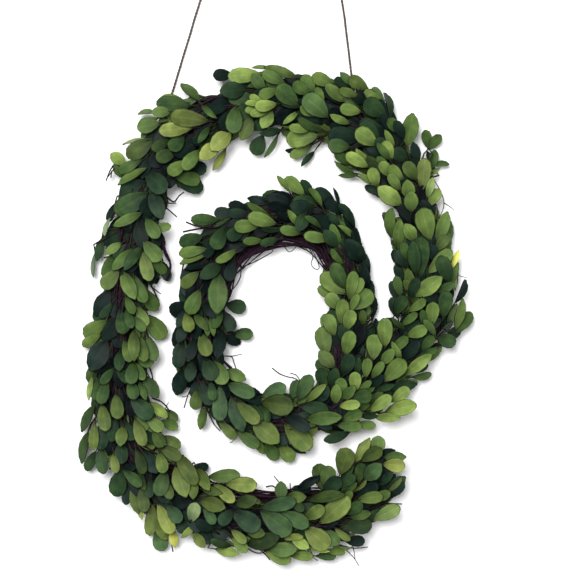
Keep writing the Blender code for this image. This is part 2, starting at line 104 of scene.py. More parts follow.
# The view of the photograph: its width and the point at its middle, at the height of the leaves.
VIEW_WIDTH = 530 * MM
VIEW_MIDDLE = (13.6 * MM, 24.4 * MM)
VIEW_HEIGHT = 20 * MM
LENS = 85.0
SENSOR = 36.0
VIEW_DISTANCE = VIEW_WIDTH * LENS / SENSOR
PICTURE_SIZE = 576
PIXEL = VIEW_WIDTH / PICTURE_SIZE
PICTURE_MIDDLE = PICTURE_SIZE / 2

UP = Vector((0, 0, 1))
DOWN = Vector((0, 0, -1))
# A whole turn in radians, as the random phases take it.
WHOLE_TURN = 6.3


def smooth_values(table, at):
    """The table's values read along a smooth curve through its points."""
    x = np.array([row[0] for row in table], float)
    y = np.array([row[1] for row in table], float)
    slope = np.gradient(y, x)
    i = np.clip(np.searchsorted(x, at) - 1, 0, len(x) - 2)
    width = x[i + 1] - x[i]
    u = np.clip((at - x[i]) / width, 0, 1)
    return (
        (2 * u**3 - 3 * u**2 + 1) * y[i]
        + (u**3 - 2 * u**2 + u) * width * slope[i]
        + (-2 * u**3 + 3 * u**2) * y[i + 1]
        + (u**3 - u**2) * width * slope[i + 1]
    )


def smooth_value(table, at):
    return float(smooth_values(table, np.array([at]))[0])


class Stroke:
    """The spiral's middle line, measured by length along it."""

    def __init__(self):
        self.angles = np.linspace(STROKE[0][0], STROKE[-1][0], STROKE_POINTS)
        reach = smooth_values(STROKE, self.angles) * MM
        turn = np.radians(self.angles)
        self.x = reach * np.cos(turn) - OUTLINE_MIDDLE[0] * MM
        self.y = reach * np.sin(turn) - OUTLINE_MIDDLE[1] * MM
        steps = np.hypot(np.diff(self.x), np.diff(self.y))
        self.along = np.concatenate([[0], np.cumsum(steps)])
        self.first = self.length_at(FIRST_BUNCH_ANGLE)
        self.pitch = (self.length_at(LAST_BUNCH_ANGLE) - self.first) / (BUNCHES - 1)

    def length_at(self, angle):
        return float(np.interp(angle, self.angles, self.along))

    def angle_at(self, length):
        return float(np.interp(length, self.along, self.angles))

    def bunch_start(self, number):
        return self.first + number * self.pitch

    def middle(self, length):
        past = max(0.0, length - self.along[-1]) / (self.along[-1] - self.along[-2])
        x = np.interp(length, self.along, self.x) + past * (self.x[-1] - self.x[-2])
        y = np.interp(length, self.along, self.y) + past * (self.y[-1] - self.y[-2])
        return Vector((x, y, VINE_HEIGHT))

    def outwards(self, length, angle):
        """The direction away from the middle line at this angle round it."""
        ahead = self.middle(length + MM) - self.middle(length - MM)
        inward = Vector((-ahead.y, ahead.x, 0)).normalized()
        turn = math.radians(angle)
        return inward * math.sin(turn) + Vector((0, 0, math.cos(turn)))

    def place(self, length, angle, reach):
        return self.middle(length) + self.outwards(length, angle) * reach

    def nearest(self, x, y):
        """The length at the nearest point of the middle line, and how far in from the line x, y lies."""
        apart = np.hypot(self.x - x, self.y - y)
        length = float(self.along[int(apart.argmin())])
        return length, (Vector((x, y, VINE_HEIGHT)) - self.middle(length)).dot(self.outwards(length, 90))


SPIRAL = Stroke()


def seen_place(across, down, height):
    """Where a point of the photograph, in its pixels, lies at this height."""
    pixel = PIXEL * (1 - (height - VIEW_HEIGHT) / VIEW_DISTANCE)
    x = VIEW_MIDDLE[0] + (across - PICTURE_MIDDLE) * pixel
    y = VIEW_MIDDLE[1] - (down - PICTURE_MIDDLE) * pixel
    return Vector((x, y, height))


def linear(hex_colour):
    """An sRGB hex colour as linear red, green, blue and alpha."""
    parts = [int(hex_colour[i : i + 2], 16) / 255 for i in (1, 3, 5)]
    return (*[p / 12.92 if p <= 0.04045 else ((p + 0.055) / 1.055) ** 2.4 for p in parts], 1.0)


def set_inputs(material, node, values):
    """Gives a node's inputs their values, or links to them from an output or from a node's first output."""
    for key, value in values.items():
        if isinstance(value, bpy.types.Node):
            value = value.outputs[0]
        if isinstance(value, bpy.types.NodeSocket):
            material.node_tree.links.new(value, node.inputs[key])
        else:
            node.inputs[key].default_value = value


def add_node(material, kind, values=None, stops=(), **settings):
    """Adds a node with its settings, its inputs' values or links, and a ramp's (place, colour) stops."""
    node = material.node_tree.nodes.new(kind)
    for key, value in settings.items():
        setattr(node, key, value)
    set_inputs(material, node, values or {})
    for i, (place, colour) in enumerate(stops):
        elements = node.color_ramp.elements
        element = elements[i] if i < 2 else elements.new(place)
        element.position = place
        element.color = linear(colour)
    return node


def new_material(name):
    material = bpy.data.materials.new(name)
    material.use_nodes = True
    return material, material.node_tree.nodes["Principled BSDF"]


# Leaf colours from the darkest to the palest: fresh green, olive, and the grey green of leaves with more wax.
FRESH_STOPS = [
    (0.0, "#070c0e"), (0.2, "#13211b"), (0.35, "#253821"), (0.5, "#3e5329"), (0.65, "#5a6d37"),
    (0.8, "#7f9249"), (1.0, "#c0be5c"),
]
OLIVE_STOPS = [
    (0.0, "#080b0a"), (0.2, "#161d14"), (0.35, "#2b351c"), (0.5, "#485127"), (0.65, "#69703b"),
    (0.8, "#8b8c48"), (1.0, "#bcb452"),
]
WAXY_STOPS = [
    (0.0, "#070b0e"), (0.2, "#15221f"), (0.35, "#2a3e2c"), (0.5, "#456040"), (0.65, "#5f7555"),
    (0.8, "#7a866c"), (1.0, "#a9ad98"),
]
UNDERSIDE_COLOUR = "#7f8f62"
UNDERSIDE_SHARE = 0.4
# A leaf's soft patches are about 9 mm across, and change its tone by up to this share.
LEAF_PATCH = 9.09 * MM
LEAF_PATCH_SHARE = 0.3
# The veins lean forward from the midrib. The real ones lie 1 mm apart or less. These lie 2.3 mm apart on a
# leaf 28 mm long, which is 75 radians from its base to its tip, so that they show.
VEIN_LEAN = -1.1
VEIN_WAVES = 75.0
VEIN_LIGHT = 0.09
VEIN_HEIGHT = 0.3
# What lies across a blade is given as a share of its width, about 16 mm: the midrib's half width is 0.8 mm.
RIB_HALF_WIDTH = 0.05
RIB_LIGHT = 0.26
# Near its sides and tip the blade has a painted highlight, a pale band, and at the very edge a painted shadow,
# a dark outline.
EDGE_HIGHLIGHT_START, EDGE_SHADOW_START, EDGE_ENDS = 0.35, 0.42, 0.5
EDGE_PAINTED_HIGHLIGHT, EDGE_PAINTED_SHADOW = 0.2, 0.9
# The blade has painted shade near its stem, where it lies under other leaves, rising to painted light beyond
# its middle, and one half is painted lighter than the other, as light falls on its fold.
PAINTED_STEM_SHADE, STEM_SHADE_END, PAINTED_OPEN_LIGHT = 0.42, 0.55, 1.1
PAINTED_HALF_SHADE = 0.4


def leaf_colour(material):
    """The blade's colour: its tone runs from dark to pale, its warmth from waxy grey over fresh to olive."""
    tone = add_node(material, "ShaderNodeAttribute", attribute_name="tone").outputs["Fac"]
    warmth = add_node(material, "ShaderNodeAttribute", attribute_name="warmth").outputs["Fac"]
    place = add_node(material, "ShaderNodeTexCoord").outputs["Object"]
    patches = {"Vector": place, "Scale": 1 / LEAF_PATCH, "Detail": 3.0}
    cloud = add_node(material, "ShaderNodeTexNoise", patches)
    shift = add_node(material, "ShaderNodeMath", {0: cloud, 1: 0.5}, operation="SUBTRACT")
    patched = {0: shift, 1: LEAF_PATCH_SHARE, 2: tone}
    toned = add_node(material, "ShaderNodeMath", patched, operation="MULTIPLY_ADD", use_clamp=True)
    fresh, olive, waxy = (
        add_node(material, "ShaderNodeValToRGB", {0: toned}, stops)
        for stops in (FRESH_STOPS, OLIVE_STOPS, WAXY_STOPS)
    )
    wax = add_node(material, "ShaderNodeMath", {0: warmth, 1: -1.0}, operation="MULTIPLY", use_clamp=True)
    cool = add_node(material, "ShaderNodeMix", {0: wax, 6: fresh, 7: waxy}, data_type="RGBA").outputs[2]
    ends = {0: warmth, 6: cool, 7: olive}
    return add_node(material, "ShaderNodeMix", ends, data_type="RGBA", clamp_factor=True).outputs[2]


def leaf_veins(material, side, lengthways):
    """The veins that run forward from the midrib, as waves from -1 to 1, and the midrib as 1."""
    slant = add_node(
        material, "ShaderNodeMath", {0: side, 1: VEIN_LEAN, 2: lengthways}, operation="MULTIPLY_ADD"
    )
    waves = add_node(material, "ShaderNodeMath", {0: slant, 1: VEIN_WAVES}, operation="MULTIPLY")
    veins = add_node(material, "ShaderNodeMath", {0: waves}, operation="SINE")
    middle = {"Value": side, "From Min": 0.0, "From Max": RIB_HALF_WIDTH, "To Min": 1.0, "To Max": 0.0}
    return veins, add_node(material, "ShaderNodeMapRange", middle)


def leaf_painted_light_and_veins(material, across, side, lengthways, veins, rib):
    """How light each place of the blade is painted: its pale midrib and veins, and painted shade near its stem
    and on one half, with a painted highlight and shadow at its edge.
    """
    past = add_node(material, "ShaderNodeMath", {0: lengthways, 1: 0.5}, operation="SUBTRACT")
    edge = add_node(material, "ShaderNodeMath", {0: side, 1: past}, operation="MAXIMUM")
    painted_edge_highlight, painted_edge_shadow, painted_stem_shade = (
        add_node(
            material, "ShaderNodeMapRange",
            {"Value": value, "From Min": low, "From Max": high, "To Min": at_low, "To Max": at_high},
        )
        for value, low, high, at_low, at_high in (
            (edge, EDGE_HIGHLIGHT_START, EDGE_SHADOW_START, 0.0, EDGE_PAINTED_HIGHLIGHT),
            (edge, EDGE_SHADOW_START, EDGE_ENDS, 0.0, EDGE_PAINTED_SHADOW),
            (lengthways, 0.0, STEM_SHADE_END, PAINTED_STEM_SHADE, PAINTED_OPEN_LIGHT),
        )
    )
    light = painted_stem_shade
    for value, share in ((across, PAINTED_HALF_SHADE), (veins, VEIN_LIGHT), (rib, RIB_LIGHT)):
        light = add_node(material, "ShaderNodeMath", {0: value, 1: share, 2: light}, operation="MULTIPLY_ADD")
    light = add_node(material, "ShaderNodeMath", {0: light, 1: painted_edge_highlight}, operation="ADD")
    return add_node(material, "ShaderNodeMath", {0: light, 1: painted_edge_shadow}, operation="SUBTRACT")


def leaf_material(name, underside):
    """Preserved boxwood leaf, as it grew: a leathery blade under a coat of wax.

    The eye sees a satin sheen and a pale midrib on top, and a paler, duller underside with less wax.
    """
    material, shader = new_material(name)
    uv = add_node(material, "ShaderNodeUVMap", uv_map="UVMap")
    sideways, lengthways, _ = add_node(material, "ShaderNodeSeparateXYZ", {0: uv}).outputs
    across = add_node(material, "ShaderNodeMath", {0: sideways, 1: 0.5}, operation="SUBTRACT")
    side = add_node(material, "ShaderNodeMath", {0: across}, operation="ABSOLUTE")
    veins, rib = leaf_veins(material, side, lengthways)
    # The blade's colour is multiplied by its painted light and shade, its midrib and its veins.
    shaded = {0: 1.0, 6: leaf_colour(material), 7: leaf_painted_light_and_veins(material, across, side, lengthways, veins, rib)}
    colour = add_node(material, "ShaderNodeMix", shaded, data_type="RGBA", blend_type="MULTIPLY").outputs[2]
    if underside:
        paler = {0: UNDERSIDE_SHARE, 6: colour, 7: linear(UNDERSIDE_COLOUR)}
        colour = add_node(material, "ShaderNodeMix", paler, data_type="RGBA").outputs[2]
    relief = {0: veins, 1: VEIN_HEIGHT, 2: rib}
    height = add_node(material, "ShaderNodeMath", relief, operation="MULTIPLY_ADD")
    bump = add_node(material, "ShaderNodeBump", {"Height": height, "Strength": 0.3, "Distance": 0.15 * MM})
    roughness = 0.6 if underside else 0.42
    set_inputs(material, shader, {
        "Base Color": colour, "Roughness": roughness, "IOR": 1.4, "Specular IOR Level": 0.06, "Normal": bump,
    })
    return material


def bark_material(name, dark, light, grain, roughness):
    """Bark, fibre or lacquer: mottled at the grain's size, and lighter where its ridges are worn."""
    material, shader = new_material(name)
    place = add_node(material, "ShaderNodeTexCoord").outputs["Object"]
    streaks = {"Vector": place, "Scale": 1 / grain, "Detail": 4.0, "Roughness": 0.6}
    cloud = add_node(material, "ShaderNodeTexNoise", streaks)
    colour = add_node(material, "ShaderNodeValToRGB", {0: cloud}, [(0.32, dark), (0.72, light)])
    bump = add_node(material, "ShaderNodeBump", {"Height": cloud, "Strength": 0.6, "Distance": 0.3 * MM})
    set_inputs(material, shader, {
        "Base Color": colour, "Roughness": roughness, "Specular IOR Level": 0.15, "Normal": bump,
    })
    return material


def deselect_all():
    for obj in bpy.context.selected_objects:
        obj.select_set(False)


def select_points(mesh, chosen):
    """In edit mode, selects only the points that the rule picks by their place."""
    bpy.ops.object.mode_set(mode="OBJECT")
    for part in (mesh.polygons, mesh.edges):
        part.foreach_set("select", [False] * len(part))
    mesh.vertices.foreach_set("select", [bool(chosen(v.co)) for v in mesh.vertices])
    bpy.ops.object.mode_set(mode="EDIT")


LEAF_COLUMNS, LEAF_ROWS = 4, 5
LEAF_THICKNESS = 0.45 * MM
# While a leaf is modelled, its rows that are done lie this far ahead: a row is picked by its place.
DONE_AHEAD = 100
# The blade's edge stays crisp, so that only its arch and its fold shade it.
CRISP_ANGLE = 50
# The rows of a leaf from base to tip: share of its length and of its width.
BROAD_ROWS = [(0.0, 0.12), (0.2, 0.6), (0.43, 0.92), (0.66, 1.0), (0.86, 0.82), (1.0, 0.46)]
OVAL_ROWS = [(0.0, 0.12), (0.2, 0.68), (0.42, 0.98), (0.63, 0.95), (0.84, 0.66), (1.0, 0.28)]
# How the tip is rounded: the points of its last row between two shares of its half width are drawn back by
# a share of the leaf's length. The corners come first, then the points halfway.
TIP_ROUNDING = [(0.8, 1.2, 0.05), (0.3, 0.7, 0.005)]


@dataclass
class LeafShape:
    """A leaf's length and width, its arch, the depth of its fold and its tip's drop, in millimetres."""

    length: float
    width: float
    rows: list
    arch: float
    fold: float
    drop: float


LEAF_SHAPES = {
    "broad": LeafShape(28, 16.5, BROAD_ROWS, 1.4, 0.7, 0.6),
    "cupped": LeafShape(27, 16.0, BROAD_ROWS, -1.0, 1.1, -0.6),
    "oval": LeafShape(28, 15.0, OVAL_ROWS, 1.2, 0.8, 1.0),
    "flat": LeafShape(29, 15.0, BROAD_ROWS, 0.4, 0.5, 0.2),
    "curled": LeafShape(27, 14.0, BROAD_ROWS, 2.4, 1.0, 2.4),
    "narrow": LeafShape(27, 11.0, OVAL_ROWS, 1.4, 1.2, 0.8),
}


class LeafMaster:
    """One modelled leaf, its base at the origin, its tip along +Y and its upper side facing +Z."""

    def __init__(self, name, finishes):
        shape = LEAF_SHAPES[name]
        self.length = shape.length * MM
        deselect_all()
        bpy.ops.mesh.primitive_grid_add(x_subdivisions=LEAF_COLUMNS, y_subdivisions=LEAF_ROWS, size=2)
        self.object = bpy.context.object
        self.object.name = "leaf_" + name
        mesh = self.object.data
        self.place_rows(mesh, shape)
        self.round_tip(mesh, shape)
        select_points(mesh, lambda co: True)
        bpy.ops.transform.translate(value=(0, -DONE_AHEAD, 0))
        bpy.ops.object.mode_set(mode="OBJECT")
        for finish in finishes:
            mesh.materials.append(finish)
        # What is tested against other leaves is the blade without its narrow base.
        self.points = [v.co.copy() for v in mesh.vertices]
        low = shape.rows[1][0] * self.length * 0.9
        self.faces = [tuple(p.vertices) for p in mesh.polygons if p.center.y > low]
        self.thicken()
        self.object.hide_render = True

    def place_rows(self, mesh, shape):
        """Widens and lifts each row of the grid into its place, and folds the blade along its midrib."""
        levels = sorted({round(v.co.y, 4) for v in mesh.vertices})
        for level, (share, wide) in zip(levels, shape.rows):
            select_points(mesh, lambda co: abs(co.y - level) < 0.01)
            bpy.ops.transform.resize(value=(wide * shape.width * MM / 2, 1, 1))
            lift = shape.arch * 4 * share * (1 - share) - shape.drop * share**3
            bpy.ops.transform.translate(value=(0, DONE_AHEAD + share * self.length - level, lift * MM))
        select_points(mesh, lambda co: abs(co.x) < 1e-6)
        bpy.ops.transform.translate(value=(0, 0, -shape.fold * MM))

    def round_tip(self, mesh, shape):
        half = shape.rows[-1][1] * shape.width * MM / 2
        last_row = DONE_AHEAD + 0.99 * self.length
        for inner, outer, drawn_back in TIP_ROUNDING:
            select_points(mesh, lambda co: co.y > last_row and inner * half < abs(co.x) < outer * half)
            bpy.ops.transform.translate(value=(0, -drawn_back * self.length, 0))

    def thicken(self):
        """Gives the blade its thickness, with the underside's finish below."""
        solid = self.object.modifiers.new("thickness", "SOLIDIFY")
        solid.thickness = LEAF_THICKNESS
        solid.offset = -1
        solid.material_offset = 1
        solid.material_offset_rim = 0
        bpy.ops.object.modifier_apply(modifier=solid.name)
        bpy.ops.object.shade_smooth_by_angle(angle=math.radians(CRISP_ANGLE))

    def tree(self, pose):
        return BVHTree.FromPolygons([pose @ p for p in self.points], self.faces)

    def copy(self, pose, tone, warmth):
        mesh = self.object.data.copy()
        mesh.transform(pose)
        for name, value, least in (("tone", tone, 0.0), ("warmth", warmth, -1.0)):
            values = mesh.attributes.new(name, "FLOAT", "POINT")
            values.data.foreach_set("value", [min(1.0, max(least, value))] * len(mesh.vertices))
        obj = bpy.data.objects.new("leaf", mesh)
        bpy.context.scene.collection.objects.link(obj)
        return obj


def tubes(name, lines, finish, sides=1):
    """Thin round stems as one mesh. Each line is a list of (point, radius)."""
    curve = bpy.data.curves.new(name, "CURVE")
    curve.dimensions = "3D"
    curve.bevel_depth = 1.0
    curve.bevel_resolution = sides
    curve.use_fill_caps = True
    for line in lines:
        spline = curve.splines.new("POLY")
        spline.points.add(len(line) - 1)
        for point, (place, radius) in zip(spline.points, line):
            point.co = (*place, 1)
            point.radius = radius
    curve.materials.append(finish)
    obj = bpy.data.objects.new(name, curve)
    bpy.context.scene.collection.objects.link(obj)
    deselect_all()
    obj.select_set(True)
    bpy.context.view_layer.objects.active = obj
    bpy.ops.object.convert(target="MESH")
    bpy.ops.object.shade_smooth()
    return bpy.context.object


def joined(name, objects):
    deselect_all()
    for obj in objects:
        obj.select_set(True)
    bpy.context.view_layer.objects.active = objects[0]
    bpy.ops.object.join()
    made = bpy.context.object
    made.name = name
    made.data.name = name
    return made


# Points lower than this are pressed together above the surface, as leaves that lie on it are.
PRESS_BELOW = 4 * MM


def press_down(obj):
    """Bends what would pass through the surface up, so that it lies on it."""
    count = len(obj.data.vertices)
    places = np.empty(count * 3, np.float32)
    obj.data.vertices.foreach_get("co", places)
    places = places.reshape(-1, 3)
    low = places[:, 2] < PRESS_BELOW
    places[low, 2] = PRESS_BELOW * np.exp((places[low, 2] - PRESS_BELOW) / PRESS_BELOW)
    obj.data.vertices.foreach_set("co", places.ravel())
    obj.data.update()


def leaf_pose(base, forward, up, size):
    """Where a leaf goes whose base, direction and upper side are given."""
    forward = forward.normalized()
    up = (up - forward * up.dot(forward)).normalized()
    turn = Matrix((forward.cross(up), forward, up)).transposed().to_4x4()
    return Matrix.Translation(base) @ turn @ Matrix.Scale(size, 4)


def rolled(up, forward, degrees):
    return Matrix.Rotation(math.radians(degrees), 3, forward) @ up


def full_reach(length, angle):
    """How far the leaf tips stand from the middle line at this place and angle."""
    side = smooth_value(INNER_REACH if angle > 0 else OUTER_REACH, SPIRAL.angle_at(length)) * MM
    return FRONT_REACH + (side - FRONT_REACH) * math.sin(math.radians(angle)) ** 2


def layer_reach(number, ahead, angle, openness):
    """How far a bunch's own layer stands from the middle line, this far ahead of its start."""
    full = full_reach(SPIRAL.bunch_start(number), angle) * UNDER_REACH
    return STEM_REACH + max(0.0, ahead - 2 * MM) * openness * (full - STEM_REACH) / LAYER_LENGTH


# How light the sprigs are along the spiral, as turning angle and tone from 0 to 1, and how olive.
LEAF_TONE = [
    (315, 0.70), (400, 0.62), (430, 0.40), (560, 0.36), (620, 0.50), (700, 0.66), (770, 0.64), (810, 0.48),
    (880, 0.42), (930, 0.52), (980, 0.58), (1040, 0.66),
]
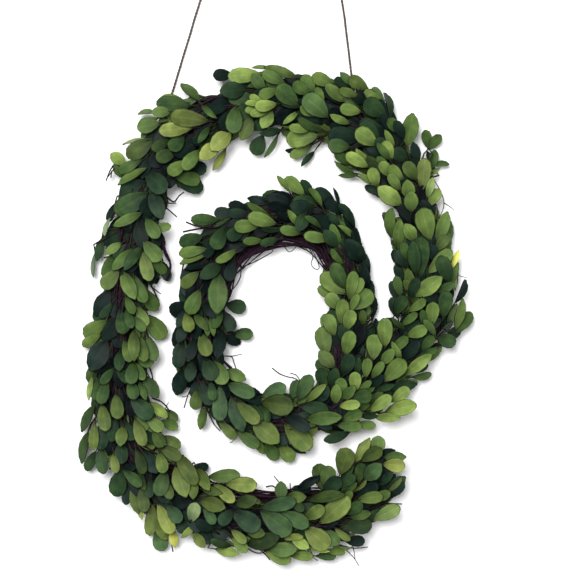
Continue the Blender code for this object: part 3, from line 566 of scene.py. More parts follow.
# The leaves that can be told apart in the photograph, read from it: base and tip in its pixels, width
# in pixels, how light the leaf is in hundredths, and how olive (above 0) or grey (below 0) in hundredths.
# A seen leaf's lightness is its own colour together with the shade it lies in: the darker ones carry painted
# shade.
SEEN_LEAVES = {
    "upper left": [
        (199, 101, 181, 82, 10, 50, 0), (190, 105, 156, 103, 15, 40, 0), (185, 102, 158, 99, 12, 58, 0),
        (163, 112, 151, 112, 11, 58, 0), (208, 121, 170, 116, 17, 52, 80), (192, 128, 159, 131, 14, 66, 60),
        (160, 123, 137, 128, 15, 52, 0), (158, 118, 139, 123, 8, 50, 0), (154, 113, 137, 112, 6, 58, -30),
        (148, 140, 122, 143, 5, 75, -50), (153, 139, 127, 157, 17, 43, 60), (168, 140, 152, 150, 11, 38, 50),
        (198, 142, 172, 153, 18, 12, 0), (182, 138, 170, 150, 14, 40, 0), (176, 152, 156, 159, 18, 38, 40),
        (200, 150, 183, 169, 13, 56, 0), (187, 161, 168, 174, 13, 60, 0), (192, 172, 206, 165, 14, 22, 0),
        (175, 177, 201, 180, 14, 48, 0), (174, 181, 204, 188, 16, 28, 0), (146, 170, 165, 192, 22, 28, -20),
        (147, 168, 117, 184, 9, 58, 0), (142, 160, 118, 172, 10, 48, 0), (125, 164, 110, 153, 12, 72, 0),
        (150, 183, 120, 195, 20, 26, -20), (147, 193, 115, 213, 20, 38, 0), (151, 190, 162, 219, 15, 28, -20),
        (231, 131, 211, 150, 17, 70, 50), (219, 143, 200, 159, 15, 73, 60), (226, 148, 213, 171, 7, 72, 50),
        (208, 129, 198, 143, 7, 42, 0), (206, 109, 216, 118, 6, 48, 0), (232, 97, 210, 112, 14, 12, 0),
        (236, 106, 233, 133, 16, 48, 0), (252, 118, 241, 140, 14, 50, 50), (229, 75, 213, 75, 12, 10, 0),
        (262, 75, 228, 76, 15, 70, 0), (246, 90, 220, 91, 17, 30, 0), (262, 104, 250, 95, 8, 70, 0),
        (262, 106, 246, 102, 7, 70, 0), (258, 108, 245, 111, 8, 68, 0), (277, 104, 255, 107, 12, 72, 0),
        (268, 111, 250, 114, 9, 68, 0), (272, 110, 262, 128, 14, 68, 0), (126, 176, 112, 166, 8, 48, 0),
        (128, 168, 114, 160, 7, 60, 0), (214, 126, 224, 108, 10, 16, 0), (206, 136, 192, 142, 9, 22, 0),
    ],
    "top": [
        (268, 68, 252, 67, 5, 62, 0), (298, 78, 264, 66, 10, 50, 30), (285, 84, 262, 72, 12, 52, 0),
        (262, 88, 252, 74, 14, 48, 0), (277, 90, 259, 96, 11, 58, 0), (298, 106, 277, 86, 22, 43, 0),
        (314, 93, 303, 75, 13, 52, 0), (307, 93, 293, 83, 12, 48, 0), (334, 84, 312, 76, 13, 60, 0),
        (322, 104, 317, 87, 8, 58, 0), (328, 117, 304, 96, 20, 50, -25), (311, 112, 300, 107, 11, 62, 0),
        (345, 102, 325, 84, 12, 52, 40), (352, 86, 334, 80, 11, 28, 0), (350, 82, 340, 72, 8, 48, 0),
        (368, 89, 349, 78, 13, 50, 40), (358, 96, 339, 90, 9, 52, 30), (361, 112, 340, 108, 12, 64, 0),
        (350, 124, 330, 115, 7, 68, 0), (361, 138, 328, 135, 19, 20, 0), (350, 147, 328, 145, 14, 43, 0),
        (318, 136, 286, 140, 18, 66, 0), (310, 131, 289, 127, 9, 66, 0), (312, 145, 290, 157, 10, 63, 0),
        (300, 148, 286, 152, 4, 18, 0), (298, 112, 283, 124, 6, 66, 0), (325, 131, 298, 120, 7, 43, 0),
        (325, 123, 303, 117, 10, 18, 0), (263, 135, 254, 155, 17, 34, 0), (278, 135, 265, 158, 5, 56, -50),
        (311, 155, 301, 166, 6, 30, 0), (282, 130, 260, 134, 8, 28, 0), (377, 145, 356, 130, 17, 64, 0),
        (379, 139, 361, 122, 14, 32, 0), (368, 167, 346, 154, 12, 72, 0), (347, 162, 335, 152, 10, 44, 0),
        (357, 176, 334, 162, 5, 52, 0), (360, 174, 338, 176, 5, 48, 0), (347, 150, 329, 148, 12, 43, 0),
        (381, 99, 364, 92, 10, 66, 0), (386, 116, 364, 101, 18, 35, 0), (383, 103, 373, 87, 9, 46, 0),
        (368, 103, 350, 94, 11, 14, 0), (388, 124, 374, 111, 11, 20, 0), (346, 133, 330, 124, 9, 12, 0),
        (372, 98, 356, 86, 10, 16, 0), (384, 108, 368, 90, 12, 14, 0), (390, 121, 378, 100, 11, 14, 0),
    ],
    "upper right": [
        (390, 118, 387, 91, 8, 32, 0), (400, 132, 388, 119, 11, 48, 0), (407, 147, 413, 112, 16, 54, 0),
        (391, 142, 385, 130, 7, 62, 0), (391, 157, 384, 141, 12, 68, 0), (390, 160, 377, 143, 8, 48, 0),
        (405, 160, 393, 149, 15, 28, 0), (418, 163, 413, 142, 10, 18, 0), (429, 147, 425, 130, 10, 45, 0),
        (430, 147, 441, 135, 10, 50, 0), (432, 163, 427, 151, 7, 20, 0), (398, 127, 386, 108, 9, 20, 0),
        (404, 138, 395, 121, 10, 22, 0), (424, 168, 410, 160, 10, 14, 0), (394, 136, 382, 114, 10, 14, 0),
        (405, 150, 393, 131, 10, 16, 0), (433, 165, 435, 150, 9, 45, 0), (434, 165, 449, 163, 6, 45, 0),
        (431, 173, 441, 168, 5, 66, 0), (422, 190, 425, 158, 14, 58, 60), (416, 180, 405, 162, 13, 50, 40),
        (427, 198, 433, 177, 8, 70, -20), (428, 206, 440, 189, 11, 66, 0), (389, 173, 380, 162, 11, 66, 0),
        (385, 165, 377, 157, 8, 48, 0), (401, 178, 389, 166, 11, 62, 0), (400, 190, 389, 174, 10, 58, 0),
        (377, 187, 371, 168, 12, 68, 0), (377, 184, 358, 174, 7, 64, 0), (378, 193, 365, 186, 8, 22, 0),
        (401, 205, 378, 187, 17, 70, 0), (409, 197, 407, 180, 14, 60, 0), (411, 212, 411, 191, 14, 58, 0),
    ],
    "right": [
        (391, 238, 390, 210, 10, 55, 0), (397, 250, 400, 219, 12, 55, 0), (414, 239, 405, 224, 13, 62, 0),
        (405, 252, 403, 242, 9, 45, 0), (430, 240, 422, 208, 19, 62, 0), (437, 243, 448, 211, 13, 58, 0),
        (436, 250, 448, 235, 11, 45, 40), (420, 277, 421, 236, 17, 38, 0), (416, 275, 413, 240, 12, 35, 0),
        (408, 268, 397, 250, 14, 25, 0), (428, 273, 452, 250, 14, 60, 0), (450, 283, 440, 256, 15, 35, 0),
        (453, 265, 459, 250, 6, 100, 0), (400, 297, 396, 276, 9, 45, 0), (395, 314, 405, 296, 13, 35, 0),
        (409, 298, 418, 278, 10, 25, 0), (415, 296, 442, 277, 16, 66, 0), (440, 291, 455, 283, 9, 42, 0),
        (443, 318, 447, 291, 14, 38, 0), (455, 303, 468, 280, 8, 20, 0), (408, 311, 426, 300, 9, 60, 0),
        (432, 325, 433, 302, 13, 62, 0), (424, 322, 422, 310, 8, 40, 0), (455, 330, 464, 299, 10, 60, 0),
        (456, 333, 472, 312, 12, 45, 0), (402, 325, 417, 313, 8, 48, 0), (400, 335, 421, 321, 9, 25, 0),
        (407, 336, 427, 328, 12, 62, 0), (430, 328, 425, 320, 7, 50, 0), (437, 338, 456, 343, 15, 38, 0),
        (422, 349, 434, 336, 10, 42, 0), (385, 347, 385, 318, 15, 62, 0), (400, 325, 391, 318, 5, 40, 0),
        (390, 352, 408, 337, 10, 50, 0), (398, 318, 392, 297, 11, 22, 0), (398, 302, 391, 281, 9, 26, 0),
        (401, 268, 393, 250, 9, 24, 0), (446, 340, 462, 326, 11, 24, 0), (402, 284, 396, 264, 9, 22, 0),
    ],
    "where the ring and the tail meet": [
        (345, 355, 351, 331, 14, 60, 0), (359, 353, 343, 342, 9, 8, 0), (343, 376, 351, 354, 14, 26, 0),
        (357, 372, 359, 357, 7, 32, 0), (373, 360, 375, 334, 16, 64, 0), (366, 374, 368, 358, 10, 58, 0),
        (373, 376, 383, 362, 9, 56, 0), (383, 362, 394, 349, 11, 56, 0), (398, 354, 392, 342, 7, 60, 0),
        (384, 381, 405, 360, 17, 60, 0), (402, 360, 420, 341, 12, 18, 0), (404, 375, 432, 354, 12, 66, 0),
        (422, 353, 438, 350, 7, 42, 0), (414, 377, 432, 375, 8, 50, 0), (388, 388, 418, 384, 10, 30, 0),
        (375, 390, 395, 385, 7, 35, 0), (372, 386, 384, 375, 9, 15, 0), (391, 402, 409, 388, 12, 70, 0),
        (370, 411, 391, 396, 12, 70, 0), (385, 412, 416, 405, 14, 74, 0), (374, 417, 400, 418, 9, 70, 0),
        (339, 406, 360, 404, 10, 74, 0), (362, 415, 377, 417, 6, 30, 0), (335, 404, 337, 384, 11, 58, 0),
        (342, 392, 340, 378, 12, 56, 0), (355, 388, 355, 372, 12, 68, 0), (342, 400, 355, 386, 10, 50, 0),
        (357, 397, 372, 395, 14, 40, 0), (353, 397, 375, 388, 7, 45, 0), (366, 386, 370, 381, 6, 50, 0),
        (334, 368, 319, 351, 16, 50, 40), (323, 384, 321, 368, 13, 34, 0), (332, 384, 336, 368, 12, 32, 0),
        (316, 402, 328, 386, 15, 24, -60), (306, 402, 326, 384, 8, 60, 30), (342, 420, 362, 412, 12, 50, 0),
        (306, 419, 342, 417, 14, 50, 0), (337, 425, 362, 427, 11, 52, 0), (358, 424, 376, 426, 9, 60, 0),
        (350, 432, 325, 441, 10, 27, 0), (311, 420, 332, 428, 8, 16, 0), (327, 355, 321, 327, 16, 56, 20),
        (329, 376, 317, 360, 11, 38, 0), (408, 372, 428, 364, 10, 24, 0), (372, 322, 368, 342, 11, 22, 0),
        (377, 340, 376, 318, 8, 14, 0), (396, 324, 382, 319, 8, 16, 0),
    ],
    "ring, top and right": [
        (288, 190, 277, 175, 6, 60, 0), (304, 195, 285, 177, 13, 64, 0), (312, 196, 301, 179, 10, 30, 0),
        (322, 207, 310, 187, 7, 50, 0), (335, 203, 315, 189, 12, 18, 0), (338, 203, 334, 187, 4, 15, 0),
        (314, 212, 290, 205, 18, 22, 0), (296, 222, 288, 210, 7, 60, 0), (305, 215, 298, 231, 14, 30, 0),
        (318, 226, 306, 216, 6, 40, 0), (270, 203, 247, 198, 9, 15, 0), (290, 220, 262, 203, 12, 10, 0),
        (270, 216, 246, 203, 7, 55, 0), (248, 212, 229, 202, 10, 12, 0), (250, 214, 228, 213, 10, 22, 0),
        (276, 224, 248, 216, 14, 62, 0), (260, 225, 234, 227, 13, 60, 0), (290, 225, 262, 231, 4, 30, 0),
        (302, 233, 280, 229, 10, 55, 0), (330, 240, 304, 235, 11, 60, 0), (262, 241, 243, 241, 8, 52, 0),
        (275, 240, 260, 244, 8, 35, 0), (337, 247, 324, 230, 12, 32, 0), (341, 244, 331, 225, 8, 52, 0),
        (357, 240, 339, 225, 6, 60, 0), (355, 228, 340, 203, 9, 22, 0), (365, 262, 345, 240, 17, 20, 0),
        (368, 290, 362, 262, 10, 12, 0), (344, 265, 331, 250, 6, 50, 0), (345, 289, 333, 263, 14, 42, 0),
        (345, 294, 321, 274, 17, 64, 0), (335, 299, 318, 287, 10, 60, 0), (340, 309, 327, 294, 14, 62, 0),
        (341, 325, 343, 299, 13, 62, 0), (349, 300, 354, 271, 12, 58, 0), (352, 297, 362, 278, 11, 62, 0),
        (353, 309, 372, 291, 17, 56, 0), (351, 309, 358, 294, 8, 60, 0), (346, 330, 352, 310, 13, 64, 0),
        (334, 336, 327, 314, 13, 60, 0), (371, 304, 368, 279, 10, 14, 0), (372, 318, 374, 295, 9, 16, 0),
        (354, 234, 344, 211, 9, 14, 0), (362, 252, 353, 228, 10, 16, 0), (368, 278, 362, 252, 10, 14, 0),
        (344, 214, 326, 201, 11, 16, 0), (358, 268, 346, 250, 10, 18, 0), (292, 204, 266, 196, 12, 6, 0),
        (292, 211, 268, 205, 10, 5, 0), (292, 219, 276, 213, 8, 6, 0), (262, 206, 240, 207, 9, 8, 0),
    ],
    "ring, left": [
        (219, 220, 191, 219, 12, 42, 0), (228, 213, 214, 213, 12, 20, 0), (190, 240, 181, 238, 8, 75, 0),
        (203, 236, 179, 244, 14, 38, 0), (207, 249, 178, 254, 11, 58, 0), (211, 252, 179, 263, 9, 60, 0),
        (224, 228, 214, 249, 16, 36, 0), (241, 231, 227, 238, 13, 28, 0), (237, 249, 217, 262, 8, 62, 0),
        (222, 264, 200, 278, 14, 30, 0), (234, 259, 228, 281, 12, 14, 0), (220, 262, 184, 268, 9, 12, 0),
        (199, 272, 181, 287, 12, 50, 60), (219, 273, 217, 314, 19, 48, 0), (200, 290, 188, 314, 15, 50, 0),
        (187, 303, 170, 314, 15, 14, -60), (186, 313, 190, 332, 12, 58, 50), (194, 314, 208, 330, 9, 42, 40),
        (203, 292, 207, 316, 11, 15, 0), (208, 308, 215, 318, 10, 12, -50), (221, 314, 213, 328, 9, 42, 0),
        (225, 312, 233, 331, 13, 22, 0), (228, 305, 246, 308, 14, 32, 0), (235, 334, 253, 334, 12, 42, 0),
        (201, 333, 208, 356, 14, 52, 60), (182, 343, 177, 368, 13, 24, 0), (184, 368, 176, 396, 15, 20, -30),
        (192, 362, 189, 382, 12, 24, 0), (224, 333, 241, 344, 13, 8, 0), (222, 330, 217, 358, 13, 16, 0),
        (206, 322, 208, 336, 7, 48, 0), (212, 324, 214, 336, 6, 50, 0), (186, 322, 178, 343, 11, 18, 0),
        (185, 311, 177, 328, 9, 22, 0), (183, 340, 175, 358, 10, 20, 0), (196, 338, 188, 360, 11, 12, 0),
        (190, 266, 182, 282, 9, 16, 0),
    ],
    "ring, bottom": [
        (214, 361, 225, 384, 16, 56, 0), (205, 358, 214, 380, 16, 32, 0), (226, 370, 246, 380, 12, 56, 0),
        (225, 384, 255, 395, 14, 45, -40), (220, 386, 220, 421, 15, 42, -50), (211, 382, 213, 401, 9, 38, -40),
        (199, 381, 211, 405, 12, 28, 0), (197, 392, 195, 410, 12, 50, 30), (197, 382, 193, 398, 10, 20, 0),
        (230, 392, 262, 402, 8, 12, 0), (237, 402, 259, 423, 14, 54, 50), (231, 397, 243, 432, 16, 38, -50),
        (249, 402, 263, 420, 8, 34, 0), (258, 404, 270, 421, 9, 38, 0), (219, 421, 236, 439, 10, 52, 40),
        (209, 408, 233, 430, 8, 30, 0), (253, 420, 279, 443, 20, 56, 40), (237, 431, 259, 447, 12, 48, 0),
        (206, 408, 199, 430, 9, 55, 0), (257, 441, 264, 454, 8, 60, 0), (266, 442, 277, 460, 13, 46, 0),
        (262, 402, 293, 407, 20, 42, 60), (262, 396, 286, 386, 14, 46, -50), (292, 398, 298, 380, 11, 44, -30),
        (298, 400, 311, 375, 14, 42, -20), (299, 405, 329, 411, 14, 32, -20), (285, 424, 311, 449, 20, 56, 40),
        (270, 415, 287, 445, 15, 22, -70), (285, 416, 310, 430, 12, 16, -40), (281, 446, 293, 461, 14, 62, 0),
        (291, 446, 306, 454, 6, 20, 0),
    ],
    "left": [
        (142, 213, 113, 226, 10, 56, 0), (114, 206, 108, 222, 8, 20, 0), (109, 222, 103, 235, 5, 78, -80),
        (131, 228, 101, 243, 15, 24, 0), (102, 238, 97, 261, 9, 36, 0), (95, 252, 92, 277, 5, 62, -90),
        (120, 244, 105, 254, 9, 62, 0), (133, 243, 114, 259, 13, 30, 0), (133, 249, 112, 270, 11, 52, 0),
        (142, 246, 124, 270, 11, 36, 0), (119, 270, 102, 288, 16, 56, 30), (122, 271, 135, 299, 14, 56, 0),
        (134, 275, 145, 303, 12, 52, 0), (142, 251, 150, 281, 13, 60, 30), (144, 241, 160, 261, 16, 55, 0),
        (152, 258, 166, 274, 10, 50, 0), (146, 218, 158, 238, 13, 50, 0), (153, 229, 171, 226, 9, 58, 0),
        (163, 262, 168, 281, 10, 24, 0), (154, 270, 150, 285, 9, 15, 0), (142, 288, 157, 311, 14, 50, 0),
        (137, 306, 147, 326, 11, 60, 0), (127, 299, 134, 314, 9, 48, 0), (127, 312, 132, 328, 9, 40, 0),
        (120, 310, 124, 334, 14, 38, 0), (134, 318, 145, 331, 9, 50, 0), (148, 315, 164, 339, 17, 56, 0),
        (110, 290, 95, 316, 15, 14, -70), (115, 285, 116, 318, 17, 16, -70), (108, 308, 100, 318, 8, 30, 0),
        (107, 321, 83, 336, 15, 60, 0), (101, 334, 82, 346, 10, 62, 0), (107, 340, 90, 371, 20, 20, -50),
        (112, 342, 103, 362, 10, 16, -50), (114, 326, 122, 348, 15, 14, -50), (124, 340, 130, 362, 10, 52, 30),
        (134, 330, 134, 361, 12, 50, 40), (141, 336, 144, 362, 11, 50, 20), (148, 336, 155, 361, 12, 46, 0),
    ],
    "lower left": [
        (120, 352, 119, 371, 11, 32, 0), (113, 369, 101, 384, 9, 38, 0), (93, 376, 88, 400, 6, 72, -20),
        (99, 378, 94, 400, 9, 40, 0), (107, 380, 100, 404, 12, 42, 0), (118, 370, 130, 382, 10, 30, 0),
        (133, 362, 131, 384, 13, 42, 0), (130, 380, 135, 399, 12, 42, 0), (138, 368, 144, 380, 9, 50, 0),
        (145, 376, 158, 398, 13, 42, 0), (141, 386, 146, 400, 7, 48, 0), (131, 398, 152, 418, 17, 36, -50),
        (150, 402, 168, 418, 10, 74, 0), (165, 412, 178, 420, 10, 42, 40), (162, 422, 178, 428, 10, 52, 0),
        (147, 418, 163, 430, 15, 62, 0), (153, 430, 163, 447, 12, 45, 40), (164, 436, 180, 448, 12, 50, 50),
        (160, 446, 181, 459, 12, 44, 60), (116, 394, 118, 419, 13, 50, 40), (102, 404, 106, 431, 13, 52, 50),
        (95, 405, 80, 432, 10, 42, 0), (95, 422, 93, 450, 10, 58, 50), (104, 420, 100, 450, 15, 28, -50),
        (116, 418, 111, 442, 11, 28, -30), (121, 420, 134, 440, 12, 28, -40), (135, 419, 144, 446, 12, 54, 60),
        (123, 428, 120, 446, 12, 56, 30), (88, 432, 80, 464, 10, 42, 0), (96, 451, 86, 471, 10, 38, -20),
        (99, 448, 104, 474, 12, 38, -20), (114, 457, 116, 473, 9, 62, 40), (122, 440, 121, 464, 14, 28, 0),
        (124, 468, 136, 467, 8, 12, -40), (136, 449, 144, 474, 11, 36, 70), (142, 450, 157, 473, 15, 24, -50),
        (159, 452, 164, 473, 12, 56, 30), (121, 468, 116, 497, 17, 34, 0), (123, 470, 142, 486, 11, 42, -20),
        (127, 491, 126, 505, 9, 22, -30), (132, 487, 138, 514, 10, 54, 50), (141, 488, 145, 512, 12, 46, 60),
        (141, 470, 144, 490, 7, 36, 60), (140, 509, 142, 520, 6, 72, 40), (166, 470, 158, 496, 15, 42, 0),
        (166, 484, 171, 499, 10, 46, 40), (151, 478, 149, 498, 9, 30, 0),
    ],
    "bottom left": [
        (176, 466, 186, 497, 17, 60, 40), (176, 452, 196, 484, 14, 48, 70), (194, 480, 193, 499, 10, 50, 60),
        (197, 468, 209, 490, 12, 54, 40), (196, 468, 209, 466, 9, 18, 0), (202, 489, 222, 493, 9, 42, 60),
        (200, 500, 225, 508, 15, 48, 70), (192, 517, 196, 503, 13, 74, -60), (206, 511, 215, 524, 10, 42, -60),
        (158, 504, 172, 534, 14, 70, 50), (167, 505, 181, 522, 13, 38, -70), (180, 518, 184, 534, 14, 22, 0),
        (189, 531, 181, 538, 7, 66, 30), (154, 505, 148, 535, 13, 64, 40), (158, 517, 166, 541, 13, 60, 40),
        (158, 530, 162, 551, 15, 50, -60), (173, 534, 175, 548, 9, 92, 20), (194, 533, 205, 548, 10, 60, 60),
        (186, 500, 190, 522, 10, 18, 0), (208, 477, 240, 475, 13, 56, 0), (226, 484, 257, 485, 15, 68, 40),
        (232, 546, 211, 541, 8, 36, 20), (184, 504, 200, 532, 13, 20, -40), (196, 520, 210, 544, 12, 20, -40),
        (214, 484, 234, 502, 11, 66, 50), (235, 504, 257, 499, 13, 40, 60), (250, 498, 261, 503, 7, 42, 60),
        (232, 511, 260, 529, 19, 32, -70), (232, 512, 219, 524, 13, 32, -60), (230, 528, 209, 541, 20, 24, -20),
        (233, 531, 246, 543, 9, 60, 40), (232, 537, 247, 552, 11, 66, 0), (215, 549, 239, 554, 10, 72, 0),
        (247, 530, 265, 534, 12, 46, 60), (247, 545, 279, 537, 17, 34, 50), (212, 530, 196, 521, 12, 22, 0),
    ],
    "bottom": [
        (261, 508, 296, 501, 14, 40, -50), (261, 511, 291, 534, 20, 44, -40), (280, 512, 309, 526, 15, 46, -40),
        (281, 498, 281, 481, 17, 48, 0), (294, 497, 306, 497, 12, 48, 40), (297, 505, 304, 511, 9, 34, 50),
        (308, 490, 292, 489, 8, 16, -30), (304, 519, 324, 507, 13, 56, 40), (320, 523, 349, 497, 20, 64, 40),
        (305, 527, 329, 548, 20, 64, 50), (292, 538, 303, 536, 8, 72, 40), (297, 541, 309, 548, 11, 80, 0),
        (268, 550, 297, 549, 15, 58, -20), (265, 551, 291, 561, 14, 66, 0), (290, 556, 313, 556, 10, 66, 0),
        (308, 547, 330, 552, 5, 80, 0), (317, 556, 336, 556, 9, 40, 0), (311, 551, 315, 562, 4, 82, -60),
        (327, 531, 338, 545, 13, 50, -20), (330, 544, 352, 550, 6, 68, 0), (326, 551, 345, 553, 8, 58, 0),
        (309, 500, 345, 494, 8, 42, 40), (322, 494, 341, 478, 14, 26, -30),
    ],
    "tail": [
        (324, 488, 330, 466, 19, 46, 20), (321, 489, 319, 463, 15, 46, 40), (340, 474, 349, 448, 19, 50, 60),
        (380, 455, 395, 450, 7, 14, 0), (296, 490, 320, 476, 9, 10, 0), (344, 483, 355, 476, 10, 36, 0),
        (346, 487, 352, 478, 6, 42, 0), (349, 489, 357, 484, 6, 46, 0), (355, 462, 370, 438, 10, 66, 40),
        (377, 451, 379, 436, 14, 60, -20), (361, 461, 382, 449, 13, 46, 60), (359, 479, 362, 463, 11, 40, 20),
        (364, 480, 381, 464, 16, 44, -40), (384, 457, 406, 457, 11, 50, -20), (383, 464, 405, 466, 17, 70, 60),
        (384, 480, 393, 472, 9, 26, -20), (391, 489, 402, 478, 6, 58, 40), (391, 497, 404, 483, 9, 22, -20),
        (354, 498, 378, 484, 12, 18, -70), (354, 490, 367, 482, 4, 68, 40), (357, 500, 383, 496, 12, 58, 20),
        (378, 498, 390, 492, 10, 50, 20), (346, 499, 352, 491, 8, 46, 20), (350, 511, 362, 503, 12, 36, 0),
        (350, 517, 371, 513, 10, 44, 40), (373, 520, 400, 507, 14, 68, -20), (343, 525, 372, 526, 16, 32, 40),
        (336, 529, 350, 541, 7, 60, 40), (348, 541, 365, 541, 11, 16, -20),
    ],
}
# What a seen leaf tries in turn to lie clear: the lift of its tip and of its base in mm, and its roll.
SEEN_TRIES = [
    (0, 0, 0), (1.5, 1.5, 0), (-2, -2, 0), (3.5, 2, 7), (3.5, 2, -7), (-3.5, -3, 8), (-3.5, -3, -8),
    (1, -4, 0), (5, 5, 0), (-6, -5, 0), (4, -3, 14), (4, -3, -14), (7, 6, 10), (7, 6, -10), (-8, -7, 12),
    (-8, -7, -12), (-2, 5, 16), (-2, 5, -16), (-11, -9, 0), (-4, -9, 20), (-4, -9, -20),
]
# What another leaf tries in turn to lie clear: its tip's lift in mm, and its roll and turn in degrees.
LEAF_TRIES = [
    (0, 0, 0), (-2, 0, 0), (2, 0, 0), (-4, 8, 0), (3, -12, 6), (-3, 12, -6), (-6, 8, 0), (5, -18, 8),
    (-8, 0, 0), (5, 18, -8), (-5, -8, 4), (-7, 22, -12),
]
# A bunch's sprigs: their angles round the vine, and how many leaves each has.
SPRIGS = [(0, 6), (38, 6), (-38, 6), (76, 6), (-76, 6), (112, 4), (-112, 4)]
# Sprigs nearer to the front than this lie under the seen leaves, and their tone is cut far more than that of
# those at the sides, as painted shade under the leaves above them.
UNDER_ANGLE = 60
UNDER_SHADE_TONE, SIDE_TONE = 0.2, 0.9
# No sprig is lighter than this.
LIGHTEST_TONE = 0.55
# The leaves under the seen ones lie lower than the foliage's outside.
UNDER_OPENNESS = 0.5
UNDER_REACH = 0.88
# The tip of a sprig's leaf stands about this much farther out than its base.
TIP_RISE = 7 * MM
# A leaf at the side turns its upper side towards the front: it faces this share of its own angle.
FACING_SHARE = 0.45
# A sprig's stem: millimetres ahead of its bunch's start, and what share of the sprig's angle it lies at.
SPRIG_ROUTE = [(-9, 0.3), (-1, 0.7), (5, 1.0), (12, 1.0), (20, 1.0), (26, 1.0)]


@dataclass
class LeafWish:
    """Where one leaf of a sprig would like to lie."""

    bunch: int
    shape: str
    ahead: float
    angle: float
    openness: float
    spread: float
    size: float
    lift: float
    roll: float
    tone: float
    warmth: float

    def length(self):
        return LEAF_SHAPES[self.shape].length * MM * self.size

    def tip_ahead(self):
        return self.ahead + self.length() * math.cos(math.radians(self.spread))

    def pose(self, attempt):
        lifted, more_roll, more_turn = attempt
        length = self.length()
        start = SPIRAL.bunch_start(self.bunch)
        turn = math.radians(self.spread + math.copysign(more_turn, self.spread))
        reach = layer_reach(self.bunch, self.ahead, self.angle, self.openness)
        base = SPIRAL.place(start + self.ahead, self.angle, reach)
        tip_ahead = self.ahead + length * math.cos(turn)
        tip_angle = self.angle + math.degrees(length * math.sin(turn) / (reach + TIP_RISE))
        tip_reach = layer_reach(self.bunch, tip_ahead, tip_angle, self.openness) + self.lift + lifted * MM
        forward = (SPIRAL.place(start + tip_ahead, tip_angle, tip_reach) - base).normalized()
        middle_angle = (self.angle + tip_angle) / 2
        up = SPIRAL.outwards(start + (self.ahead + tip_ahead) / 2, middle_angle * FACING_SHARE)
        up = (up - forward * up.dot(forward)).normalized()
        return leaf_pose(base, forward, rolled(up, forward, self.roll + more_roll), self.size)


# How often the angle is halved that leads to the foliage's outside over a point.
DOME_HALVINGS = 8


def dome_place(place):
    """Where the foliage's outside is over a point: length along the spiral, angle round it and height."""
    length, inward = SPIRAL.nearest(place.x, place.y)
    side = 1 if inward > 0 else -1
    low, high = 0.0, 90.0
    for _ in range(DOME_HALVINGS):
        angle = (low + high) / 2
        if full_reach(length, side * angle) * math.sin(math.radians(angle)) < abs(inward):
            low = angle
        else:
            high = angle
    return length, side * low, VINE_HEIGHT + full_reach(length, side * low) * math.cos(math.radians(low))


LEAST_SEEN_LENGTH = 20
# A seen leaf's edges are partly under others, and it leans, so it is wider than what is seen of it.
SEEN_WIDENING = 1.08
SEEN_BASE_DEPTH = 9 * MM
SEEN_DARK_DEPTH = 8 * MM
SEEN_LEAST_HEIGHT = 5 * MM
# The shapes that a seen leaf may have, if it is wider than this share of its length and if it isn't.
WIDE_SHARE = 0.42
WIDE_SHAPES = ("broad", "cupped", "oval", "flat")
SLENDER_SHAPES = ("narrow", "oval", "curled")
# A shape is narrowed or widened by up to this to the seen width, and leans until only this share shows.
NARROWEST, WIDEST = 0.75, 1.25
LEAST_SHOWN = 0.25
# Nearer to the stroke's front than this angle, a leaf leans to either side.
FRONT_ANGLE = 25
# Seen leaves lighter than the first are laid before the rest. Those darker than the second are laid last,
# and lie under the others where they can.
LAID_FIRST, UNDER_OTHERS = 0.45, 0.3
# A seen leaf belongs to the bunch that starts about this share of the bunches' spacing behind its base.
BASE_AHEAD = 0.3
# Leaves whose middles lie farther apart than this can't cross or cover each other.
CROSSING_DISTANCE = 30 * MM
COVERING_DISTANCE = 32 * MM
# Nearer to the foliage's edge than this share of its reach, only leaves under the seen ones are added.
EDGE_SHARE = 0.62
EDGE_COVER = 0.6
# Where the photograph shows that the foliage is open, as circles in its pixels: no leaf is added there.
OPEN_PLACES = [
    (212, 87, 9), (200, 89, 6), (173, 208, 9), (178, 198, 7), (166, 240, 5), (163, 288, 6), (152, 378, 6),
    (232, 368, 9), (254, 388, 6), (384, 206, 6), (392, 296, 4), (409, 487, 7), (118, 192, 5), (320, 437, 7),
    (400, 447, 5), (327, 303, 5), (396, 108, 6), (176, 440, 5),
]


def in_open_place(points):
    return any(
        (point - seen_place(across, down, point.z)).length < radius * PIXEL
        for across, down, radius in OPEN_PLACES for point in points
    )


